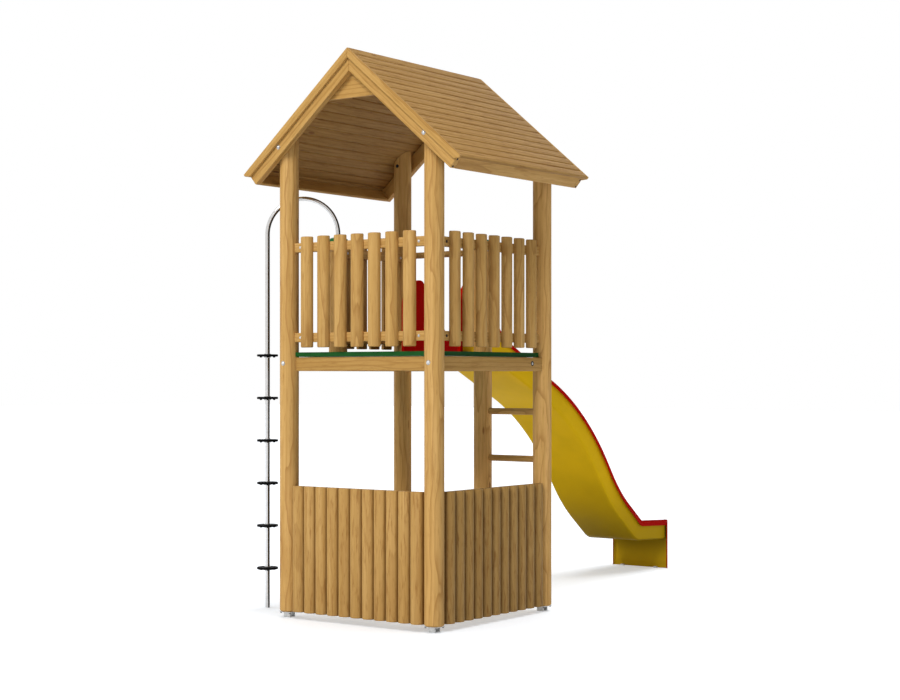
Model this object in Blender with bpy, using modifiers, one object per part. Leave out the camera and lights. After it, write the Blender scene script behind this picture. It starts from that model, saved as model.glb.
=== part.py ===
"""Timber play tower: a raised deck under a gabled roof, with a slide, a ladder and a disc pole.

Metres, +Z up. X runs along the front gable, Y from the front gable to the rear, where the slide
leaves. The origin is the middle of the sole of the front left foot.
"""

import math

import bmesh
import bpy
from mathutils import Matrix, Vector

# The gap that pieces keep where they touch, and how far a cutter runs past what it cuts.
CLEARANCE = 0.0003
CUT_MARGIN = 0.05
TOLERANCE = 0.001
MERGE_DISTANCE = 0.00005

# Posts: distances between their axes, their round section, and the low posts' height over the deck.
POST_SPACING_X = 1.138
POST_SPACING_Y = 1.169
POST_DIAMETER = 0.12
POST_CHAMFER = 0.008
POST_SIDES = 28
MID_POST_FROM_LEFT = 0.67
SHORT_POST_FROM_FRONT = 0.479
SHORT_POST_HEIGHT = 0.729

# Feet: a bent steel cheek bracket welded under a square plate.
FOOT_HEIGHT = 0.036
FOOT_PLATE_SIDE = 0.088
FOOT_PLATE_THICKNESS = 0.005
FOOT_BRACKET_SIDE = 0.05
FOOT_STEEL = 0.006

# Deck and the beams under it.
DECK_TOP = 1.666
DECK_THICKNESS = 0.027
DECK_OVERHANG = 0.01
BEAM_HEIGHT = 0.09
BEAM_THICKNESS = 0.045
SIDE_BEAM_FACE = 0.033
GABLE_BEAM_FACE = 0.003
EDGE_BEVEL = 0.003

# Railings: half-round battens on two rails, with their heights over the deck.
RAIL_HEIGHT = 0.058
RAIL_THICKNESS = 0.045
RAIL_FACE = 0.015
RAIL_LOW = 0.092
RAIL_HIGH = 0.655
BATTEN_DIAMETER = 0.09
BATTEN_DEPTH = 0.045
BATTEN_BOTTOM = 0.029
BATTEN_TOP = 0.72
BATTEN_CHAMFER = 0.006
BATTEN_PITCH_FRONT = 0.134
BATTEN_PITCH_SIDE = 0.138
BATTENS_WIDE = 7
BATTENS_NARROW = 4
LET_IN = 0.004
LOG_SIDES = 20

# Lower walls: half-round logs that fill the bay, on two rails behind.
WALL_BOTTOM = 0.036
WALL_TOP = 0.83
WALL_LOGS = 11
WALL_LOG_GAP = 0.002
WALL_LOG_DEPTH = 0.05
WALL_RAIL_LOW = 0.16
WALL_RAIL_HIGH = 0.7

# Ladder rungs, and the bar over the slide with its height over the deck.
RUNG_DIAMETER = 0.042
RUNG_SOCKET = 0.03
RUNG_FIRST = 0.365
RUNG_PITCH = 0.307
RUNGS = 4
RUNG_SIDES = 16
BAR_HEIGHT = 0.67

# Disc pole: a bent steel tube that stands clear of the left side. Its arch starts a leg over the short post.
POLE_DIAMETER = 0.03
POLE_STAND_OFF = 0.401
ARCH_LEG = 0.048
ARCH_STEPS = 16
DISC_DIAMETER = 0.138
DISC_THICKNESS = 0.015
DISC_EDGE = 0.004
DISC_HUB_DIAMETER = 0.044
DISC_HUB_DROP = 0.007
DISC_FIRST = 0.26
DISC_PITCH = 0.2784
DISCS = 6
DISC_STEPS = 20

# Green domed caps on the two low posts.
CAP_DIAMETER = 0.132
CAP_SKIRT = 0.012
CAP_RISE = 0.022
CAP_CROWN = 0.006

# Roof, worked out along the slope from the ridge.
RIDGE_HEIGHT = 3.51
ROOF_ANGLE = math.radians(40.2)
SLOPE_LENGTH = 1.11
ROOF_BOARDS = 16
BOARD_THICKNESS = 0.022
GROOVE_DEPTH = 0.005
GROOVE_WIDTH = 0.012
RAFTER_THICKNESS = 0.045
RAFTER_DEPTH = 0.107
EAVES_OVERHANG = 0.024
TRIM_THICKNESS = 0.018
TRIM_DEPTH = 0.046
TRIM_NOSE = 0.016
TRIM_END_CUT = 0.03
FASCIA_THICKNESS = 0.02
GUSSET_THICKNESS = 0.03
GUSSET_BOTTOM = 3.215

# Slide: a moulded shell. Its path is the outer underside, seen from the side: how far each corner
# lies out from the rear posts' axes, and how high over the ground or how far below the deck.
SLIDE_SHELL = 0.005
SLIDE_WIDTH = 0.453
SLIDE_FLANGE = 0.02
SLIDE_LIP = 0.028
SLIDE_DEPTH = 0.144
SLIDE_END_LIP = 0.046
SLIDE_END_DEPTH = 0.151
SLIDE_CORNER = 0.02
SLIDE_LAP = 0.133
SLIDE_FIRST_BEND_OUT = 0.2165
SLIDE_MIDDLE_BEND_OUT = 1.344
SLIDE_MIDDLE_BEND_DROP = 0.5
SLIDE_LOWER_BEND_OUT = 1.841
SLIDE_LOWER_BEND_HEIGHT = 0.527
SLIDE_LAST_BEND_OUT = 2.2185
SLIDE_LAST_BEND_HEIGHT = 0.25
SLIDE_END_OUT = 2.68
SLIDE_END_HEIGHT = 0.229
SLIDE_FIRST_RADIUS = 0.5
SLIDE_MIDDLE_RADIUS = 1.86
SLIDE_LOWER_RADIUS = 1.37
SLIDE_LAST_RIM_RADIUS = 0.03
SLIDE_BEND_STEP = math.radians(6)
STATION_GAP = 0.005
WING_STATIONS = (0, 25, 45, 65, 90)
WING_HEIGHT = 0.501
WING_FRONT_HEIGHT = 0.311
WING_CREST_OUT = 0.0605
WING_END_OUT = 0.464
END_PANEL_DEPTH = 0.025
END_PANEL_CORNER = 0.018

# Places that follow from the sizes above, with the tower's middle at zero.
HALF_X = POST_SPACING_X / 2
HALF_Y = POST_SPACING_Y / 2
POST_RADIUS = POST_DIAMETER / 2
POST_BOTTOM = FOOT_HEIGHT + CLEARANCE
MID_POST_X = -HALF_X + MID_POST_FROM_LEFT
SHORT_POST_Y = -HALF_Y + SHORT_POST_FROM_FRONT
SHORT_POST_TOP = DECK_TOP + SHORT_POST_HEIGHT
DECK_BOTTOM = DECK_TOP - DECK_THICKNESS
BEAM_TOP = DECK_BOTTOM - CLEARANCE
BEAM_BOTTOM = BEAM_TOP - BEAM_HEIGHT
RAFTER_INNER_Y = HALF_Y + POST_RADIUS + CLEARANCE
RAFTER_OUTER_Y = RAFTER_INNER_Y + RAFTER_THICKNESS
ROOF_HALF_Y = RAFTER_OUTER_Y - CLEARANCE
RAFTER_LENGTH = SLOPE_LENGTH - EAVES_OVERHANG
SLIDE_X = (MID_POST_X - HALF_X) / 2
SLIDE_UNDERSIDE = DECK_TOP + CLEARANCE
SLIDE_RIM_HALF = SLIDE_WIDTH / 2 + SLIDE_FLANGE
SLIDE_START = HALF_Y - SLIDE_LAP
SLIDE_END = HALF_Y + SLIDE_END_OUT
WING_CREST = HALF_Y + WING_CREST_OUT
WING_END = HALF_Y + WING_END_OUT
RUN_OUT_START = HALF_Y + SLIDE_LOWER_BEND_OUT
RUN_OUT_FULL = HALF_Y + SLIDE_LAST_BEND_OUT
POLE_X = -HALF_X - POLE_STAND_OFF
POLE_Y = (SHORT_POST_Y - HALF_Y) / 2

TOWER = bpy.data.collections.new("play_tower")
CUTTERS = bpy.data.collections.new("cutters")

# A flat outline lies in its own XY plane. These turn it to face the front or the side.
FACE_FRONT = Matrix(((1, 0, 0), (0, 0, -1), (0, 1, 0))).to_4x4()
FACE_SIDE = Matrix(((0, 0, 1), (1, 0, 0), (0, 1, 0))).to_4x4()


def clear_scene():
    for obj in list(bpy.data.objects):
        bpy.data.objects.remove(obj, do_unlink=True)
    for collection in (TOWER, CUTTERS):
        bpy.context.scene.collection.children.link(collection)
    CUTTERS.hide_render = True


def add_root():
    """The empty that carries the tower, so that the world's origin is under the front left post."""
    root = bpy.data.objects.new("tower_root", None)
    root.location = (HALF_X, HALF_Y, 0)
    TOWER.objects.link(root)
    return root


def make_material(name, colour, roughness, metallic=0.0):
    material = bpy.data.materials.new(name)
    material.use_nodes = True
    shader = material.node_tree.nodes["Principled BSDF"]
    shader.inputs["Base Color"].default_value = (*colour, 1)
    shader.inputs["Roughness"].default_value = roughness
    shader.inputs["Metallic"].default_value = metallic
    return material


def make_materials():
    return {
        "timber": make_material("timber", (0.52, 0.33, 0.14), 0.6),
        "roof_timber": make_material("roof_timber", (0.45, 0.30, 0.13), 0.65),
        "steel": make_material("steel", (0.6, 0.6, 0.58), 0.3, 1.0),
        "green_board": make_material("green_board", (0.02, 0.17, 0.04), 0.45),
        "green_cap": make_material("green_cap", (0.02, 0.2, 0.05), 0.4),
        "slide_red": make_material("slide_red", (0.55, 0.004, 0.004), 0.25),
        "slide_yellow": make_material("slide_yellow", (0.6, 0.38, 0.01), 0.3),
        "black_rubber": make_material("black_rubber", (0.012, 0.012, 0.012), 0.6),
    }


def place(obj, material=None, location=(0, 0, 0), turn=0.0):
    """Parents an object to the root at a place, turned about the vertical."""
    obj.parent = ROOT
    obj.location = location
    obj.rotation_euler = (0, 0, turn)
    if material:
        obj.data.materials.clear()
        obj.data.materials.append(MATERIALS[material])
    return obj


def mesh_object(name, bm, collection=None, closed=True):
    mesh = bpy.data.meshes.new(name)
    if closed:
        bmesh.ops.recalc_face_normals(bm, faces=bm.faces)
    bm.to_mesh(mesh)
    bm.free()
    obj = bpy.data.objects.new(name, mesh)
    (collection or TOWER).objects.link(obj)
    return obj


def as_cutter(obj):
    obj.hide_render = True
    obj.display_type = "WIRE"
    return obj


def smooth(obj, angle=35):
    obj.data.shade_smooth()
    obj.data.set_sharp_from_angle(angle=math.radians(angle))


def boolean(obj, other, operation):
    modifier = obj.modifiers.new(operation.lower(), "BOOLEAN")
    modifier.operation = operation
    modifier.solver = "EXACT"
    modifier.object = other


def add_box(bm, low, high):
    """Adds a box between two corners to a bmesh."""
    size = [b - a for a, b in zip(low, high)]
    middle = [(a + b) / 2 for a, b in zip(low, high)]
    matrix = Matrix.Translation(middle) @ Matrix.Diagonal((*size, 1))
    bmesh.ops.create_cube(bm, size=1, matrix=matrix)


def add_rod(bm, radius, start, end, sides):
    """Adds a round bar between two points to a bmesh."""
    start, end = Vector(start), Vector(end)
    along = end - start
    turn = along.to_track_quat("Z", "Y").to_matrix().to_4x4()
    matrix = Matrix.Translation((start + end) / 2) @ turn
    bmesh.ops.create_cone(
        bm, cap_ends=True, segments=sides, radius1=radius, radius2=radius, depth=along.length, matrix=matrix
    )


def outline_solid(name, outline, low, high, facing, collection=None):
    """A flat outline made solid from low to high along the way it faces."""
    curve = bpy.data.curves.new(name, "CURVE")
    curve.dimensions = "2D"
    curve.fill_mode = "BOTH"
    curve.extrude = (high - low) / 2
    spline = curve.splines.new("POLY")
    spline.points.add(len(outline) - 1)
    spline.use_cyclic_u = True
    for point, (a, b) in zip(spline.points, outline):
        point.co = (a, b, 0, 1)
    flat = bpy.data.objects.new(name, curve)
    TOWER.objects.link(flat)
    graph = bpy.context.evaluated_depsgraph_get()
    mesh = bpy.data.meshes.new_from_object(flat.evaluated_get(graph))
    bpy.data.objects.remove(flat)
    bpy.data.curves.remove(curve)
    bm = bmesh.new()
    bm.from_mesh(mesh)
    bpy.data.meshes.remove(mesh)
    bmesh.ops.remove_doubles(bm, verts=bm.verts, dist=MERGE_DISTANCE)
    out = facing.to_3x3() @ Vector((0, 0, (low + high) / 2))
    bmesh.ops.transform(bm, matrix=Matrix.Translation(out) @ facing, verts=bm.verts)
    return mesh_object(name, bm, collection)


def turned_piece(name, profile, steps):
    """A profile of (radius, height) points turned about the vertical axis."""
    mesh = bpy.data.meshes.new(name)
    points = [(radius, 0, height) for radius, height in profile]
    closed = profile[0][0] > 0
    edges = [(i, i + 1) for i in range(len(points) - 1)]
    if closed:
        edges.append((len(points) - 1, 0))
    mesh.from_pydata(points, edges, [])
    obj = bpy.data.objects.new(name, mesh)
    TOWER.objects.link(obj)
    screw = obj.modifiers.new("turn", "SCREW")
    screw.steps = steps
    screw.render_steps = steps
    screw.use_merge_vertices = True
    screw.merge_threshold = MERGE_DISTANCE
    screw.use_normal_calculate = True
    return obj


def beam(name, low, high, posts):
    """A squared beam whose ends are coped to the round posts that carry it."""
    bm = bmesh.new()
    add_box(bm, low, high)
    obj = place(mesh_object(name, bm), "timber")
    edges = obj.modifiers.new("edges", "BEVEL")
    edges.width = EDGE_BEVEL
    edges.segments = 1
    boolean(obj, post_cutter(name, posts, low[2], high[2]), "DIFFERENCE")
    return obj


def post_cutter(name, posts, low, high):
    """Round cutters a little wider than the posts, at their places, through a stretch of height."""
    bm = bmesh.new()
    for x, y in posts:
        add_rod(bm, POST_RADIUS + CLEARANCE, (x, y, low - CUT_MARGIN), (x, y, high + CUT_MARGIN), POST_SIDES)
    return as_cutter(place(mesh_object(name + "_cope", bm, CUTTERS)))


def roof_point(along, below, side=1):
    """The (x, z) of a point on the gable's plane: along the slope from the ridge, below its top."""
    x = along * math.cos(ROOF_ANGLE) - below * math.sin(ROOF_ANGLE)
    z = RIDGE_HEIGHT - along * math.sin(ROOF_ANGLE) - below * math.cos(ROOF_ANGLE)
    return side * x, z


def ridge_along(below):
    """How far along the slope a line below its top meets the joint at the ridge."""
    return below * math.tan(ROOF_ANGLE) + CLEARANCE / math.cos(ROOF_ANGLE)


def build_post(name, x, y, top, slope_side=0):
    """A round post, chamfered where it stands, and cut to the roof's slope where it carries it."""
    bm = bmesh.new()
    add_rod(bm, POST_RADIUS, (0, 0, POST_BOTTOM), (0, 0, top), POST_SIDES)
    rim = [e for e in bm.edges if all(v.co.z < POST_BOTTOM + TOLERANCE for v in e.verts)]
    bmesh.ops.bevel(bm, geom=rim, offset=POST_CHAMFER, segments=1, affect="EDGES")
    if slope_side:
        at_x, at_z = roof_point(SLOPE_LENGTH / 2, BOARD_THICKNESS + CLEARANCE, slope_side)
        normal = (slope_side * math.sin(ROOF_ANGLE), 0, math.cos(ROOF_ANGLE))
        cut = bmesh.ops.bisect_plane(
            bm,
            geom=bm.verts[:] + bm.edges[:] + bm.faces[:],
            plane_co=(at_x - x, 0, at_z),
            plane_no=normal,
            clear_outer=True,
        )
        edges = [e for e in cut["geom_cut"] if isinstance(e, bmesh.types.BMEdge)]
        bmesh.ops.contextual_create(bm, geom=edges)
    obj = mesh_object(name, bm)
    smooth(obj)
    return place(obj, "timber", (x, y, 0))


def build_posts():
    corners = {
        "post_front_left": (-HALF_X, -HALF_Y),
        "post_front_right": (HALF_X, -HALF_Y),
        "post_rear_left": (-HALF_X, HALF_Y),
        "post_rear_right": (HALF_X, HALF_Y),
    }
    posts = {}
    for name, (x, y) in corners.items():
        posts[name] = build_post(name, x, y, RIDGE_HEIGHT, math.copysign(1, x))
    posts["post_mid"] = build_post("post_mid", MID_POST_X, HALF_Y, SHORT_POST_TOP)
    posts["post_short"] = build_short_post()
    return posts


def build_short_post():
    bm = bmesh.new()
    add_rod(bm, POST_RADIUS, (0, 0, DECK_TOP + CLEARANCE), (0, 0, SHORT_POST_TOP), POST_SIDES)
    obj = mesh_object("post_short", bm)
    smooth(obj)
    return place(obj, "timber", (-HALF_X, SHORT_POST_Y, 0))


def build_feet():
    feet = {
        "foot_front_left": (-HALF_X, -HALF_Y),
        "foot_front_right": (HALF_X, -HALF_Y),
        "foot_rear_left": (-HALF_X, HALF_Y),
        "foot_rear_right": (HALF_X, HALF_Y),
        "foot_mid": (MID_POST_X, HALF_Y),
    }
    half = FOOT_BRACKET_SIDE / 2
    inner = half - FOOT_STEEL
    plate_low = FOOT_HEIGHT - FOOT_PLATE_THICKNESS
    channel = [
        (-half, 0),
        (half, 0),
        (half, plate_low + FOOT_STEEL / 4),
        (inner, plate_low + FOOT_STEEL / 4),
        (inner, FOOT_STEEL),
        (-inner, FOOT_STEEL),
        (-inner, plate_low + FOOT_STEEL / 4),
        (-half, plate_low + FOOT_STEEL / 4),
    ]
    for name, (x, y) in feet.items():
        foot = outline_solid(name, channel, -half, half, FACE_SIDE)
        bm = bmesh.new()
        reach = FOOT_PLATE_SIDE / 2
        add_box(bm, (-reach, -reach, plate_low), (reach, reach, FOOT_HEIGHT))
        plate = as_cutter(place(mesh_object(name + "_plate", bm, CUTTERS), None, (x, y, 0)))
        place(foot, "steel", (x, y, 0))
        boolean(foot, plate, "UNION")


def build_deck():
    bm = bmesh.new()
    reach_x, reach_y = HALF_X + DECK_OVERHANG, HALF_Y + DECK_OVERHANG
    add_box(bm, (-reach_x, -reach_y, DECK_BOTTOM), (reach_x, reach_y, DECK_TOP))
    deck = place(mesh_object("deck", bm), "green_board")
    posts = [(a * HALF_X, b * HALF_Y) for a in (-1, 1) for b in (-1, 1)]
    posts.append((MID_POST_X, HALF_Y))
    boolean(deck, post_cutter("deck", posts, DECK_BOTTOM, DECK_TOP), "DIFFERENCE")


def build_beams():
    for side, name in ((-1, "beam_left"), (1, "beam_right")):
        face = side * (HALF_X + SIDE_BEAM_FACE)
        back = face - side * BEAM_THICKNESS
        low = (min(face, back), -HALF_Y, BEAM_BOTTOM)
        high = (max(face, back), HALF_Y, BEAM_TOP)
        beam(name, low, high, [(side * HALF_X, -HALF_Y), (side * HALF_X, HALF_Y)])
    stop = HALF_X
    front = -HALF_Y - GABLE_BEAM_FACE
    rear = HALF_Y + GABLE_BEAM_FACE
    spans = (
        ("beam_front", -stop, stop, front, front + BEAM_THICKNESS),
        ("beam_rear_slide", -stop, MID_POST_X, rear - BEAM_THICKNESS, rear),
        ("beam_rear_ladder", MID_POST_X, stop, rear - BEAM_THICKNESS, rear),
    )
    for name, start, end, near, far in spans:
        y = math.copysign(HALF_Y, near)
        beam(name, (start, near, BEAM_BOTTOM), (end, far, BEAM_TOP), [(start, y), (end, y)])


def add_half_log(bm, x, diameter, depth, low, high, chamfer):
    """Adds an upright log with a flat back on the rails' face and its round side to the front."""
    log = bmesh.new()
    radius = diameter / 2
    y = -RAIL_FACE - depth + radius
    add_rod(log, radius, (x, y, low), (x, y, high), LOG_SIDES)
    if chamfer:
        ends = [e for e in log.edges if abs(e.verts[0].co.z - e.verts[1].co.z) < TOLERANCE]
        bmesh.ops.bevel(log, geom=ends, offset=chamfer, segments=1, affect="EDGES")
    cut = bmesh.ops.bisect_plane(
        log,
        geom=log.verts[:] + log.edges[:] + log.faces[:],
        plane_co=(0, -RAIL_FACE, 0),
        plane_no=(0, 1, 0),
        clear_outer=True,
    )
    edges = [e for e in cut["geom_cut"] if isinstance(e, bmesh.types.BMEdge)]
    bmesh.ops.contextual_create(log, geom=edges)
    mesh = bpy.data.meshes.new("log")
    log.to_mesh(mesh)
    log.free()
    bm.from_mesh(mesh)
    bpy.data.meshes.remove(mesh)


def log_panel(name, bay, places, diameter, depth, low, high, chamfer, levels, location, turn):
    """Upright logs on two rails in a bay between two round posts, as one panel."""
    logs = bmesh.new()
    for x in places:
        add_half_log(logs, x, diameter, depth, low, high, chamfer)
    panel = place(mesh_object(name, logs), "timber", location, turn)
    smooth(panel)
    rails = bmesh.new()
    for level in levels:
        add_box(
            rails,
            (-bay / 2, -RAIL_FACE - LET_IN, level - RAIL_HEIGHT / 2),
            (bay / 2, RAIL_THICKNESS - RAIL_FACE, level + RAIL_HEIGHT / 2),
        )
    rails = as_cutter(place(mesh_object(name + "_rails", rails, CUTTERS), None, location, turn))
    boolean(panel, rails, "UNION")
    copes = post_cutter(name, [(-bay / 2, 0), (bay / 2, 0)], low, high)
    boolean(panel, place(copes, None, location, turn), "DIFFERENCE")


def spread(count, pitch):
    """Places at an even pitch about the middle."""
    return [(i - (count - 1) / 2) * pitch for i in range(count)]


def build_railings():
    panels = (
        ("railing_front", POST_SPACING_X, BATTENS_WIDE, BATTEN_PITCH_FRONT, (0, -HALF_Y, 0), 0.0),
        ("railing_right", POST_SPACING_Y, BATTENS_WIDE, BATTEN_PITCH_SIDE, (HALF_X, 0, 0), math.pi / 2),
        (
            "railing_left",
            HALF_Y - SHORT_POST_Y,
            BATTENS_NARROW,
            BATTEN_PITCH_FRONT,
            (-HALF_X, (HALF_Y + SHORT_POST_Y) / 2, 0),
            -math.pi / 2,
        ),
    )
    for name, bay, count, pitch, location, turn in panels:
        log_panel(
            name,
            bay,
            spread(count, pitch),
            BATTEN_DIAMETER,
            BATTEN_DEPTH,
            DECK_TOP + BATTEN_BOTTOM,
            DECK_TOP + BATTEN_TOP,
            BATTEN_CHAMFER,
            (DECK_TOP + RAIL_LOW, DECK_TOP + RAIL_HIGH),
            location,
            turn,
        )


def build_walls():
    panels = (
        ("wall_front", POST_SPACING_X, (0, -HALF_Y, 0), 0.0),
        ("wall_right", POST_SPACING_Y, (HALF_X, 0, 0), math.pi / 2),
    )
    for name, bay, location, turn in panels:
        pitch = (bay - POST_DIAMETER) / WALL_LOGS
        log_panel(
            name,
            bay,
            spread(WALL_LOGS, pitch),
            pitch - WALL_LOG_GAP,
            WALL_LOG_DEPTH,
            WALL_BOTTOM,
            WALL_TOP,
            0.0,
            (WALL_RAIL_LOW, WALL_RAIL_HIGH),
            location,
            turn,
        )


def build_bar(name, start_x, end_x, level):
    """A round bar between two posts, with its ends in their sockets."""
    reach = POST_RADIUS - RUNG_SOCKET
    ends = (start_x + reach, HALF_Y, level), (end_x - reach, HALF_Y, level)
    bm = bmesh.new()
    add_rod(bm, RUNG_DIAMETER / 2, *ends, RUNG_SIDES)
    obj = mesh_object(name, bm)
    smooth(obj)
    return place(obj, "timber")


def cut_sockets(post, bars):
    """Bores a blind socket in a post for each bar, given as (level, side of the post)."""
    bm = bmesh.new()
    x, y = post.location.x, post.location.y
    for level, side in bars:
        start = x + side * (POST_RADIUS - RUNG_SOCKET - CLEARANCE)
        end = x + side * (POST_RADIUS + RUNG_SOCKET)
        add_rod(bm, RUNG_DIAMETER / 2 + CLEARANCE, (start, y, level), (end, y, level), RUNG_SIDES)
    boolean(post, as_cutter(place(mesh_object(post.name + "_sockets", bm, CUTTERS))), "DIFFERENCE")


def build_bars(posts):
    levels = [RUNG_FIRST + i * RUNG_PITCH for i in range(RUNGS)]
    bar_level = DECK_TOP + BAR_HEIGHT
    for i, level in enumerate(levels):
        build_bar(f"rung_{i + 1}", MID_POST_X, HALF_X, level)
    build_bar("slide_bar", -HALF_X, MID_POST_X, bar_level)
    cut_sockets(posts["post_rear_right"], [(level, -1) for level in levels])
    cut_sockets(posts["post_rear_left"], [(bar_level, 1)])
    cut_sockets(posts["post_mid"], [(level, 1) for level in levels] + [(bar_level, -1)])


def build_caps():
    outer = CAP_DIAMETER / 2
    seat = POST_RADIUS + CLEARANCE
    for name, x, y, hole in (
        ("cap_mid", MID_POST_X, HALF_Y, 0.0),
        ("cap_short", -HALF_X, SHORT_POST_Y, POLE_DIAMETER / 2 + CLEARANCE),
    ):
        under = SHORT_POST_TOP + CLEARANCE
        dome = []
        for i in range(5):
            angle = math.radians(90 - 22.5 * i)
            reach = max(outer * math.cos(angle), hole)
            dome.append((reach, under + CAP_CROWN + CAP_RISE * math.sin(angle)))
        profile = dome + [(outer, under - CAP_SKIRT), (seat, under - CAP_SKIRT), (seat, under), (hole, under)]
        cap = turned_piece(name, profile, POST_SIDES)
        place(cap, "green_cap", (x, y, 0))
        cap.data.shade_smooth()


def build_pole():
    """The disc pole: one tube from the ground, over an arch, and down onto the short post."""
    post = Vector((-HALF_X, SHORT_POST_Y, 0))
    foot = Vector((POLE_X, POLE_Y, 0))
    span = foot - post
    radius = span.length / 2
    centre = (foot + post) / 2 + Vector((0, 0, SHORT_POST_TOP + ARCH_LEG))
    route = [foot]
    for i in range(ARCH_STEPS + 1):
        angle = math.pi * i / ARCH_STEPS
        route.append(centre + span / 2 * math.cos(angle) + Vector((0, 0, radius * math.sin(angle))))
    route.append(post + Vector((0, 0, SHORT_POST_TOP + CLEARANCE)))
    curve = bpy.data.curves.new("disc_pole", "CURVE")
    curve.dimensions = "3D"
    curve.bevel_depth = POLE_DIAMETER / 2
    curve.bevel_resolution = 4
    curve.use_fill_caps = True
    spline = curve.splines.new("POLY")
    spline.points.add(len(route) - 1)
    for point, place_on in zip(spline.points, route):
        point.co = (*place_on, 1)
    pole = bpy.data.objects.new("disc_pole", curve)
    TOWER.objects.link(pole)
    place(pole, "steel")


def build_discs():
    """Foot discs that ring the pole, with eased edges and a hub below."""
    rim = DISC_DIAMETER / 2
    bore = POLE_DIAMETER / 2 + CLEARANCE
    hub = DISC_HUB_DIAMETER / 2
    face = DISC_THICKNESS / 2
    profile = [
        (bore, face),
        (rim - DISC_EDGE, face),
        (rim, face - DISC_EDGE),
        (rim, DISC_EDGE - face),
        (rim - DISC_EDGE, -face),
        (hub, -face),
        (hub, -face - DISC_HUB_DROP),
        (bore, -face - DISC_HUB_DROP),
    ]
    for i in range(DISCS):
        disc = turned_piece(f"disc_{i + 1}", profile, DISC_STEPS)
        place(disc, "black_rubber", (POLE_X, POLE_Y, DISC_FIRST + i * DISC_PITCH))


def roof_board_outline(side):
    """The section of one roof slope: boards side by side, with a groove at each joint, top and bottom."""
    pitch = SLOPE_LENGTH / ROOF_BOARDS
    half = GROOVE_WIDTH / 2
    top = [(ridge_along(0), 0)]
    under = [(ridge_along(BOARD_THICKNESS), BOARD_THICKNESS)]
    for i in range(1, ROOF_BOARDS):
        joint = i * pitch
        top += [(joint - half, 0), (joint, GROOVE_DEPTH), (joint + half, 0)]
        under += [
            (joint - half, BOARD_THICKNESS),
            (joint, BOARD_THICKNESS - GROOVE_DEPTH),
            (joint + half, BOARD_THICKNESS),
        ]
    top.append((SLOPE_LENGTH, 0))
    under.append((SLOPE_LENGTH, BOARD_THICKNESS))
    return [roof_point(along, below, side) for along, below in top + under[::-1]]


def slope_strip(start_below, end_below, start, end, side):
    """A strip along the slope from the ridge joint or a given start, between two depths."""
    first = [start if start else ridge_along(start_below), start_below]
    last = [start if start else ridge_along(end_below), end_below]
    points = [first, (end, start_below), (end, end_below), last]
    return [roof_point(along, below, side) for along, below in points]


def build_roof():
    for side, word in ((-1, "left"), (1, "right")):
        outline = roof_board_outline(side)
        boards = outline_solid(f"roof_{word}", outline, -ROOF_HALF_Y, ROOF_HALF_Y, FACE_FRONT)
        place(boards, "roof_timber")
        below = BOARD_THICKNESS + CLEARANCE
        fascia = slope_strip(below, RAFTER_DEPTH, RAFTER_LENGTH - FASCIA_THICKNESS, RAFTER_LENGTH, side)
        reach = RAFTER_INNER_Y - CLEARANCE
        place(outline_solid(f"fascia_{word}", fascia, -reach, reach, FACE_FRONT), "timber")
        for end_sign, end_word in ((-1, "front"), (1, "rear")):
            place(gable_rafter(f"rafter_{end_word}_{word}", end_sign, side), "timber")
    for end_sign, end_word in ((-1, "front"), (1, "rear")):
        build_gusset(f"gusset_{end_word}", end_sign)


def gable_rafter(name, end_sign, side):
    """A gable rafter under the boards, with the verge trim on its face as one stepped piece."""
    under_boards = BOARD_THICKNESS + CLEARANCE
    body = slope_strip(under_boards, RAFTER_DEPTH, 0, RAFTER_LENGTH, side)
    trim = [
        (ridge_along(0), 0),
        (SLOPE_LENGTH, 0),
        (SLOPE_LENGTH, TRIM_NOSE),
        (SLOPE_LENGTH - TRIM_END_CUT, TRIM_DEPTH),
        (ridge_along(TRIM_DEPTH), TRIM_DEPTH),
    ]
    trim = [roof_point(along, below, side) for along, below in trim]
    # An outline that faces the front has its depth along -Y.
    span = sorted((-end_sign * RAFTER_INNER_Y, -end_sign * (RAFTER_OUTER_Y + LET_IN)))
    rafter = outline_solid(name, body, *span, FACE_FRONT)
    span = sorted((-end_sign * RAFTER_OUTER_Y, -end_sign * (RAFTER_OUTER_Y + TRIM_THICKNESS)))
    lap = outline_solid(name + "_trim", trim, *span, FACE_FRONT, CUTTERS)
    boolean(rafter, as_cutter(place(lap)), "UNION")
    return rafter


def build_gusset(name, end_sign):
    """The triangular plate behind the rafters under the ridge."""
    below = BOARD_THICKNESS + CLEARANCE
    peak = RIDGE_HEIGHT - below / math.cos(ROOF_ANGLE)
    half = (peak - GUSSET_BOTTOM) / math.tan(ROOF_ANGLE)
    outline = [(-half, GUSSET_BOTTOM), (half, GUSSET_BOTTOM), (0, peak)]
    face = RAFTER_INNER_Y - CLEARANCE
    span = sorted((-end_sign * face, -end_sign * (face - GUSSET_THICKNESS)))
    place(outline_solid(name, outline, *span, FACE_FRONT), "timber")


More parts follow.
